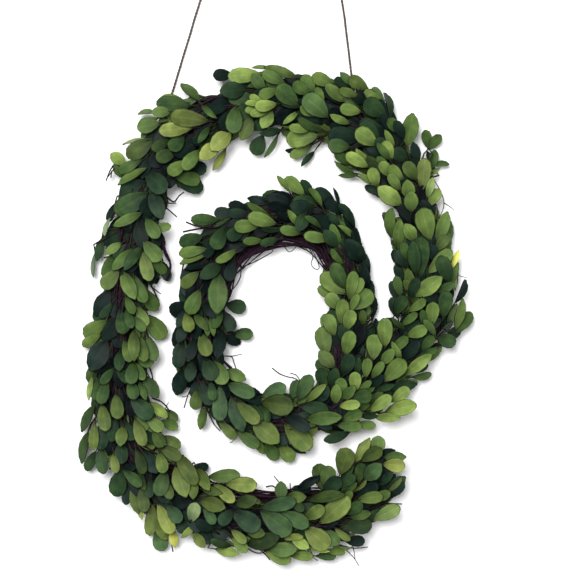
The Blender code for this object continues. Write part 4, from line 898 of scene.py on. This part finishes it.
class SeenLeaf:
    """One leaf of the photograph, laid on the dome of the foliage with its base sunk into it."""

    def __init__(self, row, rng):
        base_x, base_y, tip_x, tip_y, width, tone, warmth = row
        self.width = width * SEEN_WIDENING
        self.tone, self.warmth = tone / 100, warmth / 100
        self.tip = (tip_x, tip_y)
        seen_length = math.hypot(tip_x - base_x, tip_y - base_y)
        more = max(1.0, LEAST_SEEN_LENGTH / seen_length)
        self.base = (base_x, base_y)
        self.hidden_base = (tip_x + (base_x - tip_x) * more, tip_y + (base_y - tip_y) * more)
        wide_share = self.width / max(seen_length, LEAST_SEEN_LENGTH)
        self.shape = rng.choice(WIDE_SHAPES if wide_share > WIDE_SHARE else SLENDER_SHAPES)
        self.roll_side = rng.choice((-1, 1))
        length, _, self.base_height = dome_place(seen_place(*self.base, VIEW_HEIGHT))
        number = round((length - SPIRAL.first) / SPIRAL.pitch - BASE_AHEAD)
        self.bunch = min(BUNCHES - 1, max(0, number))
        _, _, self.tip_height = dome_place(seen_place(*self.tip, VIEW_HEIGHT))
        middle = ((base_x + tip_x) / 2, (base_y + tip_y) / 2)
        self.along, self.angle, _ = dome_place(seen_place(*middle, VIEW_HEIGHT))

    def ends(self, attempt, base):
        deeper = SEEN_DARK_DEPTH * max(0.0, 0.5 - self.tone)
        tip_height = max(SEEN_LEAST_HEIGHT, self.tip_height - deeper + attempt[0] * MM)
        base_height = max(SEEN_LEAST_HEIGHT, self.base_height - SEEN_BASE_DEPTH - deeper + attempt[1] * MM)
        return seen_place(*base, base_height), seen_place(*self.tip, tip_height)

    def pose(self, attempt, base):
        start, end = self.ends(attempt, base)
        forward = end - start
        shape = LEAF_SHAPES[self.shape]
        size = forward.length / (shape.length * MM)
        natural = shape.width * MM * size
        wide = min(WIDEST, max(NARROWEST, self.width * PIXEL / natural))
        shown = min(1.0, max(LEAST_SHOWN, self.width * PIXEL / (natural * wide)))
        forward.normalize()
        up = (UP - forward * forward.z).normalized()
        # A leaf that is seen narrower than it is leans, and away from the stroke where it is beside it.
        leans_out = forward.cross(up).dot(SPIRAL.outwards(self.along, math.copysign(90, self.angle)))
        side = self.roll_side if abs(self.angle) < FRONT_ANGLE else math.copysign(1, leans_out)
        roll = side * math.degrees(math.acos(shown)) + attempt[2]
        return leaf_pose(start, forward, rolled(up, forward, roll), size) @ Matrix.Diagonal((wide, 1, 1, 1))

    def stem(self, pose):
        """The twig that carries the leaf, from its base back to the vine."""
        base = pose @ Vector((0, 0, 0))
        back = -(pose.to_3x3() @ Vector((0, 1, 0))).normalized()
        _, inward = SPIRAL.nearest(base.x, base.y)
        start = SPIRAL.bunch_start(self.bunch) - 4 * MM
        root = SPIRAL.place(start, math.copysign(min(70, abs(inward) / MM * 3), inward), VINE_RADIUS)
        knee = base + back * 7 * MM
        knee.z = max(root.z, base.z - 4 * MM)
        return [(base - back * 1.5 * MM, 0.5 * MM), (base, 0.6 * MM), (knee, 0.8 * MM), (root, 1.0 * MM)]


class Foliage:
    """All the leaves laid so far. A new one is tilted, rolled or turned until it crosses none of them; if it
    can't be, another leaf is left out, and a seen one is laid all the same.
    """

    def __init__(self, masters):
        self.masters = masters
        self.laid = []
        self.seen = []
        self.by_bunch = [[] for _ in range(BUNCHES)]
        self.stems = [[] for _ in range(BUNCHES)]

    def crossed(self, middle, tree):
        return any(
            (middle - other).length < CROSSING_DISTANCE and tree.overlap(laid) for other, laid in self.laid
        )

    def near_seen(self, middle):
        return [seen for other, seen in self.seen if (middle - other).xy.length < COVERING_DISTANCE]

    def covers_seen(self, middle, points):
        """Whether a leaf would lie over a seen one or over bare vine."""
        near = self.near_seen(middle)
        return any(seen.ray_cast(point, DOWN)[0] for seen in near for point in points)

    def widens_edge(self, middle, points):
        """Whether a leaf would show past the seen ones at the foliage's edge."""
        length, inward = SPIRAL.nearest(middle.x, middle.y)
        apart = (middle - SPIRAL.middle(length)).xy.length
        if apart < EDGE_SHARE * full_reach(length, math.copysign(90, inward)):
            return False
        near = self.near_seen(middle)
        covered = sum(any(seen.ray_cast(point, UP)[0] for seen in near) for point in points)
        return covered < EDGE_COVER * len(points)

    def lay(self, bunch, shape, pose, tone, warmth, seen=False, under=True, force=False):
        master = self.masters[shape]
        middle = pose @ Vector((0, master.length / 2, 0))
        tree = master.tree(pose)
        points = [pose @ p for p in master.points[2::3]]
        if not force and self.crossed(middle, tree):
            return False
        if under and self.covers_seen(middle, points):
            return False
        if not seen and (self.widens_edge(middle, points) or in_open_place(points)):
            return False
        self.laid.append((middle, tree))
        if seen:
            self.seen.append((middle, tree))
        self.by_bunch[bunch].append(master.copy(pose, tone, warmth))
        return True

    def lay_wish(self, wish):
        return any(self.lay(wish.bunch, wish.shape, wish.pose(t), wish.tone, wish.warmth) for t in LEAF_TRIES)

    def lay_seen(self, leaf):
        """Lays it as the photograph shows it, as clear of the others as it can be."""
        ways = [(attempt, base, False) for base in (leaf.hidden_base, leaf.base) for attempt in SEEN_TRIES]
        if leaf.tone < UNDER_OTHERS:
            ways = [(attempt, base, True) for attempt, base, _ in ways] + ways
        for number, (attempt, base, under) in enumerate([*ways, ways[-len(SEEN_TRIES)]]):
            pose = leaf.pose(attempt, base)
            last = number == len(ways)
            if self.lay(leaf.bunch, leaf.shape, pose, leaf.tone, leaf.warmth, True, under and not last, last):
                self.stems[leaf.bunch].append(leaf.stem(pose))
                return not last
        return False


def sprig_wishes(rng, bunch, angle, count, tone, warmth):
    """The leaves of one sprig: opposite pairs along its stem, and one at its end where the count is odd."""
    openness = rng.uniform(0.85, 1.1) * (UNDER_OPENNESS + (1 - UNDER_OPENNESS) * min(1.0, abs(angle) / 100))
    sprig_size = rng.uniform(0.88, 1.05)
    ahead = rng.uniform(-2, 5) * MM
    wishes = []
    for pair in range(count // 2):
        for side in (-1, 1):
            spread = side * (rng.uniform(26, 50) - 7 * pair)
            wishes.append((ahead, spread, rng.uniform(0.8, 1.08), rng.uniform(-1, 2.5)))
        ahead += rng.uniform(7.5, 10.5) * MM
    if count % 2 or rng.random() < 0.7:
        wishes.append((ahead - 3 * MM, rng.uniform(-14, 14), rng.uniform(0.8, 1.1), rng.uniform(0, 3)))
    return [
        LeafWish(
            bunch, rng.choice(list(LEAF_SHAPES)), at, angle, openness, spread, sprig_size * size, lift * MM,
            rng.gauss(0, 16), tone + rng.gauss(0, 0.06), warmth + rng.gauss(0, 0.08),
        )
        for at, spread, size, lift in wishes
    ]


def sprig_stem(bunch, angle, openness):
    start = SPIRAL.bunch_start(bunch)
    line = []
    for ahead, turned in SPRIG_ROUTE:
        reach = layer_reach(bunch, ahead * MM, angle * turned, openness)
        line.append((SPIRAL.place(start + ahead * MM, angle * turned, reach), (0.9 - 0.015 * ahead) * MM))
    return line


def plan_sprigs(foliage):
    """What every leaf under and beside the seen ones asks for. Their stems are added at once."""
    rng = random.Random(SEED)
    wishes = []
    for bunch in range(BUNCHES):
        place = SPIRAL.angle_at(SPIRAL.bunch_start(bunch))
        bunch_tone = smooth_value(LEAF_TONE, place) + rng.uniform(-0.1, 0.1)
        for angle, count in SPRIGS:
            # The sprigs under the seen leaves are painted dark, as painted shade.
            share = UNDER_SHADE_TONE if abs(angle) < UNDER_ANGLE else SIDE_TONE
            tone = min(LIGHTEST_TONE, share * bunch_tone + rng.gauss(0, 0.1))
            warmth = rng.uniform(-0.6, 0.6) * (0.3 + 0.8 * tone)
            sprig = sprig_wishes(rng, bunch, angle + rng.uniform(-10, 10), count, tone, warmth)
            foliage.stems[bunch].append(sprig_stem(bunch, sprig[0].angle, sprig[0].openness))
            wishes += sprig
    return sorted(wishes, key=lambda wish: -wish.tip_ahead())


def seen_leaves():
    """The photograph's leaves, the lighter ones first, because they lie on top."""
    rng = random.Random(SEED)
    leaves = [SeenLeaf(row, rng) for rows in SEEN_LEAVES.values() for row in rows]
    return sorted(leaves, key=lambda leaf: (leaf.tone < LAID_FIRST) + (leaf.tone < UNDER_OTHERS))


def make_foliage(masters, stem_finish):
    """Every bunch of sprigs, each in place of its solid. The leaves that lie on top are laid first."""
    foliage = Foliage(masters)
    for rows in VINE_BUNDLES.values():
        foliage.seen += bundle_sheets(rows)
    leaves = seen_leaves()
    clear = sum(foliage.lay_seen(leaf) for leaf in leaves)
    print("seen leaves clear", clear, "of", len(leaves))
    wishes = plan_sprigs(foliage)
    added = sum(foliage.lay_wish(wish) for wish in wishes)
    print("other leaves", added, "of", len(wishes))
    for bunch in range(BUNCHES):
        stem = tubes("stems", foliage.stems[bunch], stem_finish)
        node = f"bunch_{bunch + 1:02d}"
        piece = joined(f"sprigs_{bunch + 1:02d}", foliage.by_bunch[bunch] + [stem])
        press_down(piece)
        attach(piece, "root")
        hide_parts(node)


TWIGS_PER_STRAND = 10
TWIG_STEP = 5 * MM


def twig_line(strand, rng):
    """One thin vine, wandering inside its hank."""
    start = SPIRAL.first - 14 * MM
    end = SPIRAL.bunch_start(BUNCHES - 1) + 8 * MM
    radius = rng.uniform(0.6, 1.4) * MM
    own_turn = rng.uniform(0, 360)
    own_reach = rng.uniform(1.5, 5.0) * MM
    speed = rng.uniform(-1.6, 1.6)
    wander = [(rng.uniform(0, WHOLE_TURN), rng.uniform(20, 60), rng.uniform(0.4, 1.6)) for _ in range(3)]
    low = start + rng.uniform(-12, 12) * MM
    high = end + rng.uniform(-20, 8) * MM
    steps = int((high - low) / TWIG_STEP)
    line = []
    for i in range(steps + 1):
        along = low + (high - low) * i / steps
        bunches = (along - SPIRAL.first + WIRE_BEHIND) / SPIRAL.pitch - BETWEEN_WIRES
        turns = bunches / BUNCHES_PER_TWIST + strand / STRANDS
        middle = SPIRAL.place(along, 360 * turns + 180, STRAND_OFFSET)
        sway = sum(most * math.sin(phase + along / MM / wave) for phase, wave, most in wander)
        reach = max(0.3 * MM, own_reach + sway * MM)
        point = middle + SPIRAL.outwards(along, own_turn + 360 * turns * speed) * reach
        knob = 1 + 0.12 * math.sin(along / MM / 7 + own_turn)
        line.append((point, radius * knob))
    return line


def vine_twigs(strand, finish):
    """The thin vines of one hank."""
    rng = random.Random(SEED + strand)
    lines = [twig_line(strand, rng) for _ in range(TWIGS_PER_STRAND)]
    piece = tubes(f"vine_hank_{strand + 1}", lines, finish)
    press_down(piece)
    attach(piece, "root")
    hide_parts(f"vine_strand_{strand + 1}")


# Where thin vines run bare beside the leaves: turning angle, and from and to how far in from the middle
# line, in millimetres.
VINE_BUNDLES = {
    "inside the ring": [
        (370, 0, 3), (400, 8, 17), (420, 15, 26), (440, 20, 31), (460, 20, 29), (480, 18, 29),
        (500, 19, 29), (520, 17, 26), (540, 8, 18), (565, 0, 3),
    ],
    "inside the bottom": [
        (935, 0, 3), (955, 12, 20), (970, 18, 28), (985, 19, 29), (1000, 20, 30), (1009, 11, 20),
        (1018, 0, 4),
    ],
}
BUNDLE_TWIGS = 15
BUNDLE_STEPS = 40
# The flat sheets that keep leaves off the bundles: how many degrees each spans, and its height.
SHEET_SPAN = 6
SHEET_HEIGHT = 8 * MM
THICKET_TWIGS = 16
THICKET_STEP = 6 * MM
THICKET_REACH = 12.5
LOOSE_STEP = 3 * MM
# Loose vines that stand out of the leaves: radius and height in mm, and the photograph's pixels they pass.
LOOSE_VINES = [
    (0.6, 17, [(236, 262), (241, 267), (252, 263), (262, 258), (273, 251), (268, 247)]),
    (0.6, 15, [(240, 258), (241, 268), (240, 278), (234, 288), (228, 292), (220, 300)]),
    (0.5, 14, [(238, 262), (236, 275), (230, 286), (224, 296)]),
    (0.5, 16, [(308, 246), (313, 256), (311, 264), (315, 269), (319, 269), (318, 262), (312, 250)]),
    (0.45, 15, [(283, 244), (289, 252), (296, 247), (300, 240)]),
    (0.6, 14, [(212, 350), (218, 355), (225, 356), (233, 356), (242, 354)]),
    (0.6, 12, [(226, 356), (232, 357), (234, 363), (236, 369), (236, 378)]),
    (1.1, 12, [(215, 352), (222, 359), (228, 366), (234, 372)]),
    (0.9, 10, [(218, 358), (226, 363), (232, 368)]),
    (0.6, 14, [(272, 368), (280, 374), (288, 377), (296, 379), (306, 388)]),
    (0.5, 13, [(290, 373), (296, 375), (299, 379), (303, 388)]),
    (0.6, 10, [(184, 408), (187, 398), (190, 390), (195, 380)]),
    (0.45, 11, [(182, 397), (187, 396), (192, 390)]),
    (0.5, 10, [(200, 413), (203, 405), (205, 395)]),
    (0.7, 8, [(203, 400), (209, 414), (214, 424), (220, 431)]),
    (0.45, 10, [(230, 443), (234, 440), (238, 436)]),
    (0.5, 14, [(430, 172), (434, 180), (441, 192), (444, 203), (442, 212), (437, 222)]),
    (0.45, 15, [(444, 203), (449, 206), (454, 210)]),
    (0.5, 14, [(448, 262), (453, 268), (454, 280), (456, 291)]),
    (0.45, 16, [(452, 262), (458, 270), (457, 284)]),
    (0.4, 14, [(452, 272), (460, 276), (468, 278)]),
    (0.5, 15, [(434, 200), (437, 207), (438, 218)]),
    (0.8, 12, [(120, 160), (113, 166), (109, 173), (106, 181)]),
    (0.8, 12, [(118, 168), (112, 171), (111, 178)]),
    (0.6, 12, [(122, 166), (114, 169), (108, 177)]),
    (0.8, 15, [(156, 196), (163, 205), (170, 211), (177, 217)]),
    (0.9, 12, [(160, 192), (168, 198), (174, 202), (179, 196), (184, 192)]),
    (0.8, 11, [(158, 198), (168, 203), (176, 203)]),
    (0.8, 10, [(164, 526), (170, 538), (173, 552)]),
    (0.5, 12, [(338, 544), (346, 550), (354, 558), (359, 566)]),
    (0.45, 13, [(352, 544), (354, 551), (355, 559)]),
    (0.6, 14, [(340, 545), (352, 548), (360, 548), (368, 547)]),
    (0.9, 16, [(358, 516), (366, 513), (375, 509), (385, 504), (402, 504)]),
    (0.9, 20, [(183, 232), (192, 230), (205, 228), (219, 227), (232, 222)]),
    (0.8, 22, [(186, 222), (196, 226), (206, 227), (216, 224)]),
    (0.8, 12, [(184, 262), (182, 272), (181, 282), (182, 290), (191, 291)]),
    (0.5, 12, [(274, 476), (278, 481), (284, 488), (290, 496)]),
    (0.8, 12, [(266, 487), (273, 486), (280, 492)]),
    (0.5, 12, [(290, 483), (291, 490), (296, 498)]),
    (0.6, 9, [(244, 544), (250, 550), (257, 553), (264, 552), (270, 546)]),
    (0.7, 10, [(258, 548), (265, 554), (270, 560)]),
    (0.6, 12, [(146, 280), (153, 288), (161, 294)]),
    (0.9, 10, [(150, 284), (155, 293), (159, 301)]),
    (1.3, 16, [(156, 226), (161, 237), (165, 250), (170, 262), (170, 274)]),
    (1.0, 14, [(160, 240), (166, 256), (171, 266), (166, 280)]),
    (1.0, 11, [(118, 436), (115, 446), (117, 456), (122, 466)]),
    (0.8, 13, [(112, 442), (112, 450), (114, 458)]),
    (0.9, 12, [(120, 262), (112, 262), (106, 265), (102, 270)]),
    (0.8, 10, [(118, 254), (110, 256), (104, 258)]),
    (0.9, 12, [(140, 356), (146, 362), (151, 371), (153, 380)]),
    (0.7, 10, [(136, 358), (144, 368), (150, 378)]),
    (0.8, 14, [(152, 398), (160, 401), (166, 406), (170, 412)]),
    (0.4, 14, [(164, 412), (166, 407), (169, 402)]),
    (1.0, 25, [(198, 106), (208, 101), (218, 97), (230, 97)]),
    (0.8, 24, [(200, 110), (212, 106), (224, 102), (234, 103)]),
    (1.0, 22, [(192, 106), (204, 103), (216, 99), (228, 101)]),
    (0.9, 20, [(190, 104), (202, 100), (214, 97), (226, 99)]),
    (1.1, 28, [(142, 446), (152, 451), (164, 459), (178, 467)]),
    (1.0, 31, [(326, 412), (336, 406), (346, 399), (356, 394)]),
    (0.9, 29, [(198, 500), (212, 497), (226, 497), (242, 498)]),
    (0.9, 28, [(316, 526), (328, 527), (340, 529), (350, 534)]),
]


def bundle_edges(rows, angle):
    """The bundle's two edges at this turning angle, as metres in from the middle line."""
    return [smooth_value([(row[0], row[side]) for row in rows], angle) * MM for side in (1, 2)]


def bundle_sheets(rows):
    """Flat sheets where the bundle runs, over which no leaf that the photograph doesn't show may lie."""
    sheets = []
    for angle in range(rows[0][0], rows[-1][0], SHEET_SPAN):
        corners = []
        for at in (angle, angle + SHEET_SPAN):
            for reach in bundle_edges(rows, at):
                corners.append(SPIRAL.place(SPIRAL.length_at(at), 90, reach))
        for corner in corners:
            corner.z = SHEET_HEIGHT
        middle = sum(corners, Vector((0, 0, 0))) / 4
        sheets.append((middle, BVHTree.FromPolygons(corners, [(0, 1, 3, 2)])))
    return sheets


def bundle_lines(rows, rng):
    """The vines of one bundle, side by side and waving over one another."""
    lines = []
    for twig in range(BUNDLE_TWIGS):
        share = (twig + rng.uniform(0.1, 0.9)) / BUNDLE_TWIGS
        height = rng.uniform(-5, 7)
        phase, wave = rng.uniform(0, WHOLE_TURN), rng.uniform(8, 20)
        radius = rng.uniform(0.45, 1.0) * MM
        low = rows[0][0] + rng.uniform(0, 8)
        high = rows[-1][0] - rng.uniform(0, 8)
        line = []
        for i in range(BUNDLE_STEPS + 1):
            angle = low + (high - low) * i / BUNDLE_STEPS
            near, far = bundle_edges(rows, angle)
            across = share + 0.2 * math.sin(angle / wave + phase)
            point = SPIRAL.place(SPIRAL.length_at(angle), 90, near + (far - near) * across)
            point.z = VINE_HEIGHT + (height + 1.5 * math.sin(angle / wave * 1.3 + phase * 2)) * MM
            line.append((point, radius * (1 + 0.15 * math.sin(angle / 3 + phase))))
        lines.append(line)
    return lines


def thicket_lines(rng):
    """Long dark vines that wander round the hanks under the leaves."""
    lines = []
    start, end = SPIRAL.first - 6 * MM, SPIRAL.bunch_start(BUNCHES - 1) + 4 * MM
    for _ in range(THICKET_TWIGS):
        middle_angle = rng.uniform(-95, 95)
        waves = [(rng.uniform(0, WHOLE_TURN), rng.uniform(14, 45)) for _ in range(2)]
        radius = rng.uniform(0.5, 0.9) * MM
        line = []
        steps = int((end - start) / THICKET_STEP)
        for i in range(steps + 1):
            along = start + (end - start) * i / steps
            sway, swell = (math.sin(phase + along / MM / wave) for phase, wave in waves)
            angle = middle_angle + 35 * sway
            line.append((SPIRAL.place(along, angle, (THICKET_REACH + 2.2 * swell) * MM), radius))
        lines.append(line)
    return lines


def loose_vines():
    lines = []
    for radius, height, seen in LOOSE_VINES:
        route = [seen_place(*pixel, height * MM) for pixel in seen]
        points, _ = even_points(route, LOOSE_STEP)
        lines.append([(p, radius * MM * (1 - 0.35 * i / len(points))) for i, p in enumerate(points)])
    return lines


def bare_vines(finish):
    """The thin vines that show between the leaves, beside them and past their edge."""
    rng = random.Random(SEED)
    lines = [line for rows in VINE_BUNDLES.values() for line in bundle_lines(rows, rng)]
    piece = tubes("bare_vines", lines + thicket_lines(rng) + loose_vines(), finish, 0)
    press_down(piece)
    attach(piece, "root")


WIRE_RADIUS = 0.3 * MM
# In degrees round the vine: the wire's steps, from where and for how long it slants along, and its end.
WIRE_STEP, WIRE_SLANT_START, WIRE_SLANT, WIRE_END = 24, 60, 90, 72
# The wire's distance from the vine, and its rise over the stems at the front, whose width is in degrees.
WIRE_CLEARANCE = 0.6 * MM
STEM_RISE = 1.6 * MM
STEM_RISE_WIDTH = 22


def binding_wire(finish):
    """The wire, round the vine at each bunch and slanting along to the next."""
    line = []
    for number in range(BUNCHES):
        start = SPIRAL.bunch_start(number) - WIRE_BEHIND
        for angle in range(0, 360, WIRE_STEP):
            share = min(1.0, max(0.0, (angle - WIRE_SLANT_START) / WIRE_SLANT))
            if number == BUNCHES - 1 and angle > WIRE_END:
                break
            rise = STEM_RISE * math.exp(-((min(angle, 360 - angle) / STEM_RISE_WIDTH) ** 2))
            place = SPIRAL.place(start + share * SPIRAL.pitch, angle, VINE_RADIUS + WIRE_CLEARANCE + rise)
            line.append((place, WIRE_RADIUS))
    piece = tubes("paddle_wire", [line], finish)
    press_down(piece)
    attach(piece, "root")
    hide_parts("binding_wire")


def tie_length(side):
    number = round((SPIRAL.length_at(TIE_ANGLES[side]) - SPIRAL.first) / SPIRAL.pitch - TIE_SHARE)
    return SPIRAL.bunch_start(number) - WIRE_BEHIND + TIE_SHARE * SPIRAL.pitch


def knot_place(side):
    return SPIRAL.place(tie_length(side), KNOT_ANGLE, KNOT_REACH)


CURVE_POINTS = 1200


def even_points(route, step):
    """Points evenly spaced on a smooth curve through the route, and its length."""
    fine = np.linspace(0, len(route) - 1, CURVE_POINTS)
    columns = [[(number, point[k]) for number, point in enumerate(route)] for k in range(3)]
    curve = np.stack([smooth_values(column, fine) for column in columns], axis=1)
    curve[:, 2] = np.maximum(curve[:, 2], TWINE_RADIUS)
    along = np.concatenate([[0], np.cumsum(np.linalg.norm(np.diff(curve, axis=0), axis=1))])
    at = np.linspace(0, along[-1], round(along[-1] / step) + 1)
    return [Vector([np.interp(a, along, curve[:, k]) for k in range(3)]) for a in at], float(along[-1])


def twine_route():
    route = [Vector((x - OUTLINE_MIDDLE[0], y - OUTLINE_MIDDLE[1], z)) * MM for x, y, z in TWINE_ROUTE]
    for side, end in (("left", 0), ("right", -1)):
        knot = knot_place(side)
        away = (route[end] - knot).normalized()
        met = knot + away * (KNOT_RADIUS + 0.3 * MM)
        route.insert(0, met) if side == "left" else route.append(met)
    return route


PLY_RADIUS = 0.68 * MM
PLY_OFFSET = 0.54 * MM
PLY_TWIST = 6.5 * MM
TWINE_STEP = 1.2 * MM
FIBRES = 260


def ply_lines(points, step, plies=2):
    """The twisted plies of a twine that follows the points."""
    lines = []
    for ply in range(plies):
        line = []
        for i, point in enumerate(points):
            before, after = points[max(i - 1, 0)], points[min(i + 1, len(points) - 1)]
            heading = (after - before).normalized()
            side = heading.cross(UP)
            if side.length < 0.2:
                side = heading.cross(Vector((0, 1, 0)))
            side.normalize()
            up = side.cross(heading)
            turn = 2 * math.pi * (i * step / PLY_TWIST + ply / plies)
            place = point + (side * math.cos(turn) + up * math.sin(turn)) * PLY_OFFSET
            line.append((place, PLY_RADIUS * (1 + 0.1 * math.sin(i * 0.9 + ply * 2))))
        lines.append(line)
    return lines


def loose_fibres(points):
    """Short hairs that stand off the twine."""
    rng = random.Random(SEED)
    lines = []
    for _ in range(FIBRES):
        i = rng.randrange(3, len(points) - 4)
        along = (points[i + 2] - points[i]).normalized()
        out = Vector((rng.uniform(-1, 1), rng.uniform(-1, 1), rng.uniform(-0.3, 1))).normalized()
        root = points[i] + out * 0.6 * MM
        reach = rng.uniform(0.7, 1.5) * MM
        tip = root + out * reach + along * rng.uniform(-2, 2.5) * MM
        middle = (root + tip) / 2 + out * 0.25 * MM
        lines.append([(root, 0.07 * MM), (middle, 0.06 * MM), (tip, 0.03 * MM)])
    return lines


def jute_twine(finish):
    """The twine between its two knots."""
    points, length = even_points(twine_route(), TWINE_STEP)
    piece = tubes("jute_twine", ply_lines(points, TWINE_STEP) + loose_fibres(points), finish)
    press_down(piece)
    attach(piece, "root")
    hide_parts("twine_hanger")


# The turns of twine round the vine, in millimetres: how far apart they lie, and how far each one sways.
TURN_APART, TURN_SWAY = 1.9, 0.5
TURN_CLEARANCE = 1.4 * MM
TURN_POINTS = 48
TURN_STEP = 1.5 * MM
KNOT_POINTS = 60
KNOT_STEP = 0.6 * MM
KNOT_SCALE = 0.85


def turn_points(length, turn):
    """One turn of twine round the vine. Its number, -1 to 1, says how far it lies beside the tie's middle."""
    points = []
    for k in range(TURN_POINTS + 1):
        beside = (turn * TURN_APART + TURN_SWAY * math.sin(k / 3)) * MM
        points.append(SPIRAL.place(length + beside, 360 * k / TURN_POINTS, VINE_RADIUS + TURN_CLEARANCE))
    return points


def knot_points(middle):
    """A trefoil knot."""
    points = []
    for k in range(KNOT_POINTS + 1):
        t = 2 * math.pi * k / KNOT_POINTS
        x = math.sin(t) + 2 * math.sin(2 * t)
        y = math.cos(t) - 2 * math.cos(2 * t)
        points.append(middle + Vector((x, y, -1.2 * math.sin(3 * t))) * KNOT_SCALE * MM)
    return points


def twine_tie(side, finish):
    """Turns of twine round the vine, and the knot."""
    length = tie_length(side)
    lines = []
    for turn in (-1, 0, 1):
        lines += ply_lines(turn_points(length, turn), TURN_STEP)
    lines += ply_lines(knot_points(knot_place(side)), KNOT_STEP)
    piece = tubes(f"twine_turns_{side}", lines, finish)
    press_down(piece)
    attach(piece, "root")
    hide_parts(f"twine_tie_{side}")


def photo_camera():
    """Looks straight down on the wreath, as the photograph looks straight at it."""
    data = bpy.data.cameras.new("camera")
    data.lens = LENS
    data.sensor_width = SENSOR
    data.dof.use_dof = False
    camera = bpy.data.objects.new("camera", data)
    camera.location = (*VIEW_MIDDLE, VIEW_HEIGHT + VIEW_DISTANCE)
    bpy.context.scene.collection.objects.link(camera)
    bpy.context.scene.camera = camera


def area_light(name, place, size, energy):
    data = bpy.data.lights.new(name, "AREA")
    data.size = size
    data.energy = energy
    light = bpy.data.objects.new(name, data)
    light.location = place
    light.rotation_euler = (-Vector(place)).to_track_quat("-Z", "Y").to_euler()
    bpy.context.scene.collection.objects.link(light)


FLOOR_SIZE = 6
WORLD_STRENGTH = 0.14


def studio():
    """A pale floor of matt painted board, and soft lights."""
    world = bpy.data.worlds.new("soft_light")
    bpy.context.scene.world = world
    world.use_nodes = True
    background = world.node_tree.nodes["Background"]
    background.inputs["Color"].default_value = linear("#f4f6fa")
    background.inputs["Strength"].default_value = WORLD_STRENGTH
    # Places and sizes are in metres, energies in watts.
    area_light("key", place=(-0.32, 0.5, 1.8), size=0.8, energy=48)
    area_light("fill", place=(0.7, -0.3, 1.5), size=2.0, energy=13)
    deselect_all()
    bpy.ops.mesh.primitive_plane_add(size=FLOOR_SIZE)
    floor = bpy.context.object
    floor.name = "floor"
    # Matt paint on board: pale, even and without gloss, so that the floor shows only the soft shadow.
    material, shader = new_material("pale_floor")
    shader.inputs["Base Color"].default_value = linear("#fafafa")
    shader.inputs["Roughness"].default_value = 0.9
    floor.data.materials.append(material)
    bpy.context.scene.view_settings.view_transform = "Standard"


photo_camera()
# Jute, a coarse bast fibre, spun and left undyed: dull and hairy, with paler fibres on its ridges.
jute = bark_material("jute_fibre", "#2c2524", "#6f6059", 1.111 * MM, 0.95)
jute_twine(jute)
studio()
for tie_side in TIE_ANGLES:
    twine_tie(tie_side, jute)
# The vines' bark, dried as it grew: nearly black with a purple cast, and scuffed paler in streaks.
bark = bark_material("vine_bark", "#0a0508", "#33192c", 2.857 * MM, 0.85)
# The boxwood stems' bark, dried: dark olive and dull.
stem_bark = bark_material("stem_bark", "#14130e", "#2e2c1b", 2.5 * MM, 0.8)
# Florist's wire, dipped in green lacquer: a thin, even coat with a low gloss.
wire_paint = bark_material("wire_lacquer", "#161a12", "#2a3020", 3.333 * MM, 0.5)
for hank in range(STRANDS):
    vine_twigs(hank, bark)
bare_vines(bark)
binding_wire(wire_paint)
leaf_finishes = [leaf_material("leaf_upper_side", False), leaf_material("leaf_underside", True)]
leaf_masters = {name: LeafMaster(name, leaf_finishes) for name in LEAF_SHAPES}
make_foliage(leaf_masters, stem_bark)
for master in leaf_masters.values():
    bpy.data.objects.remove(master.object)
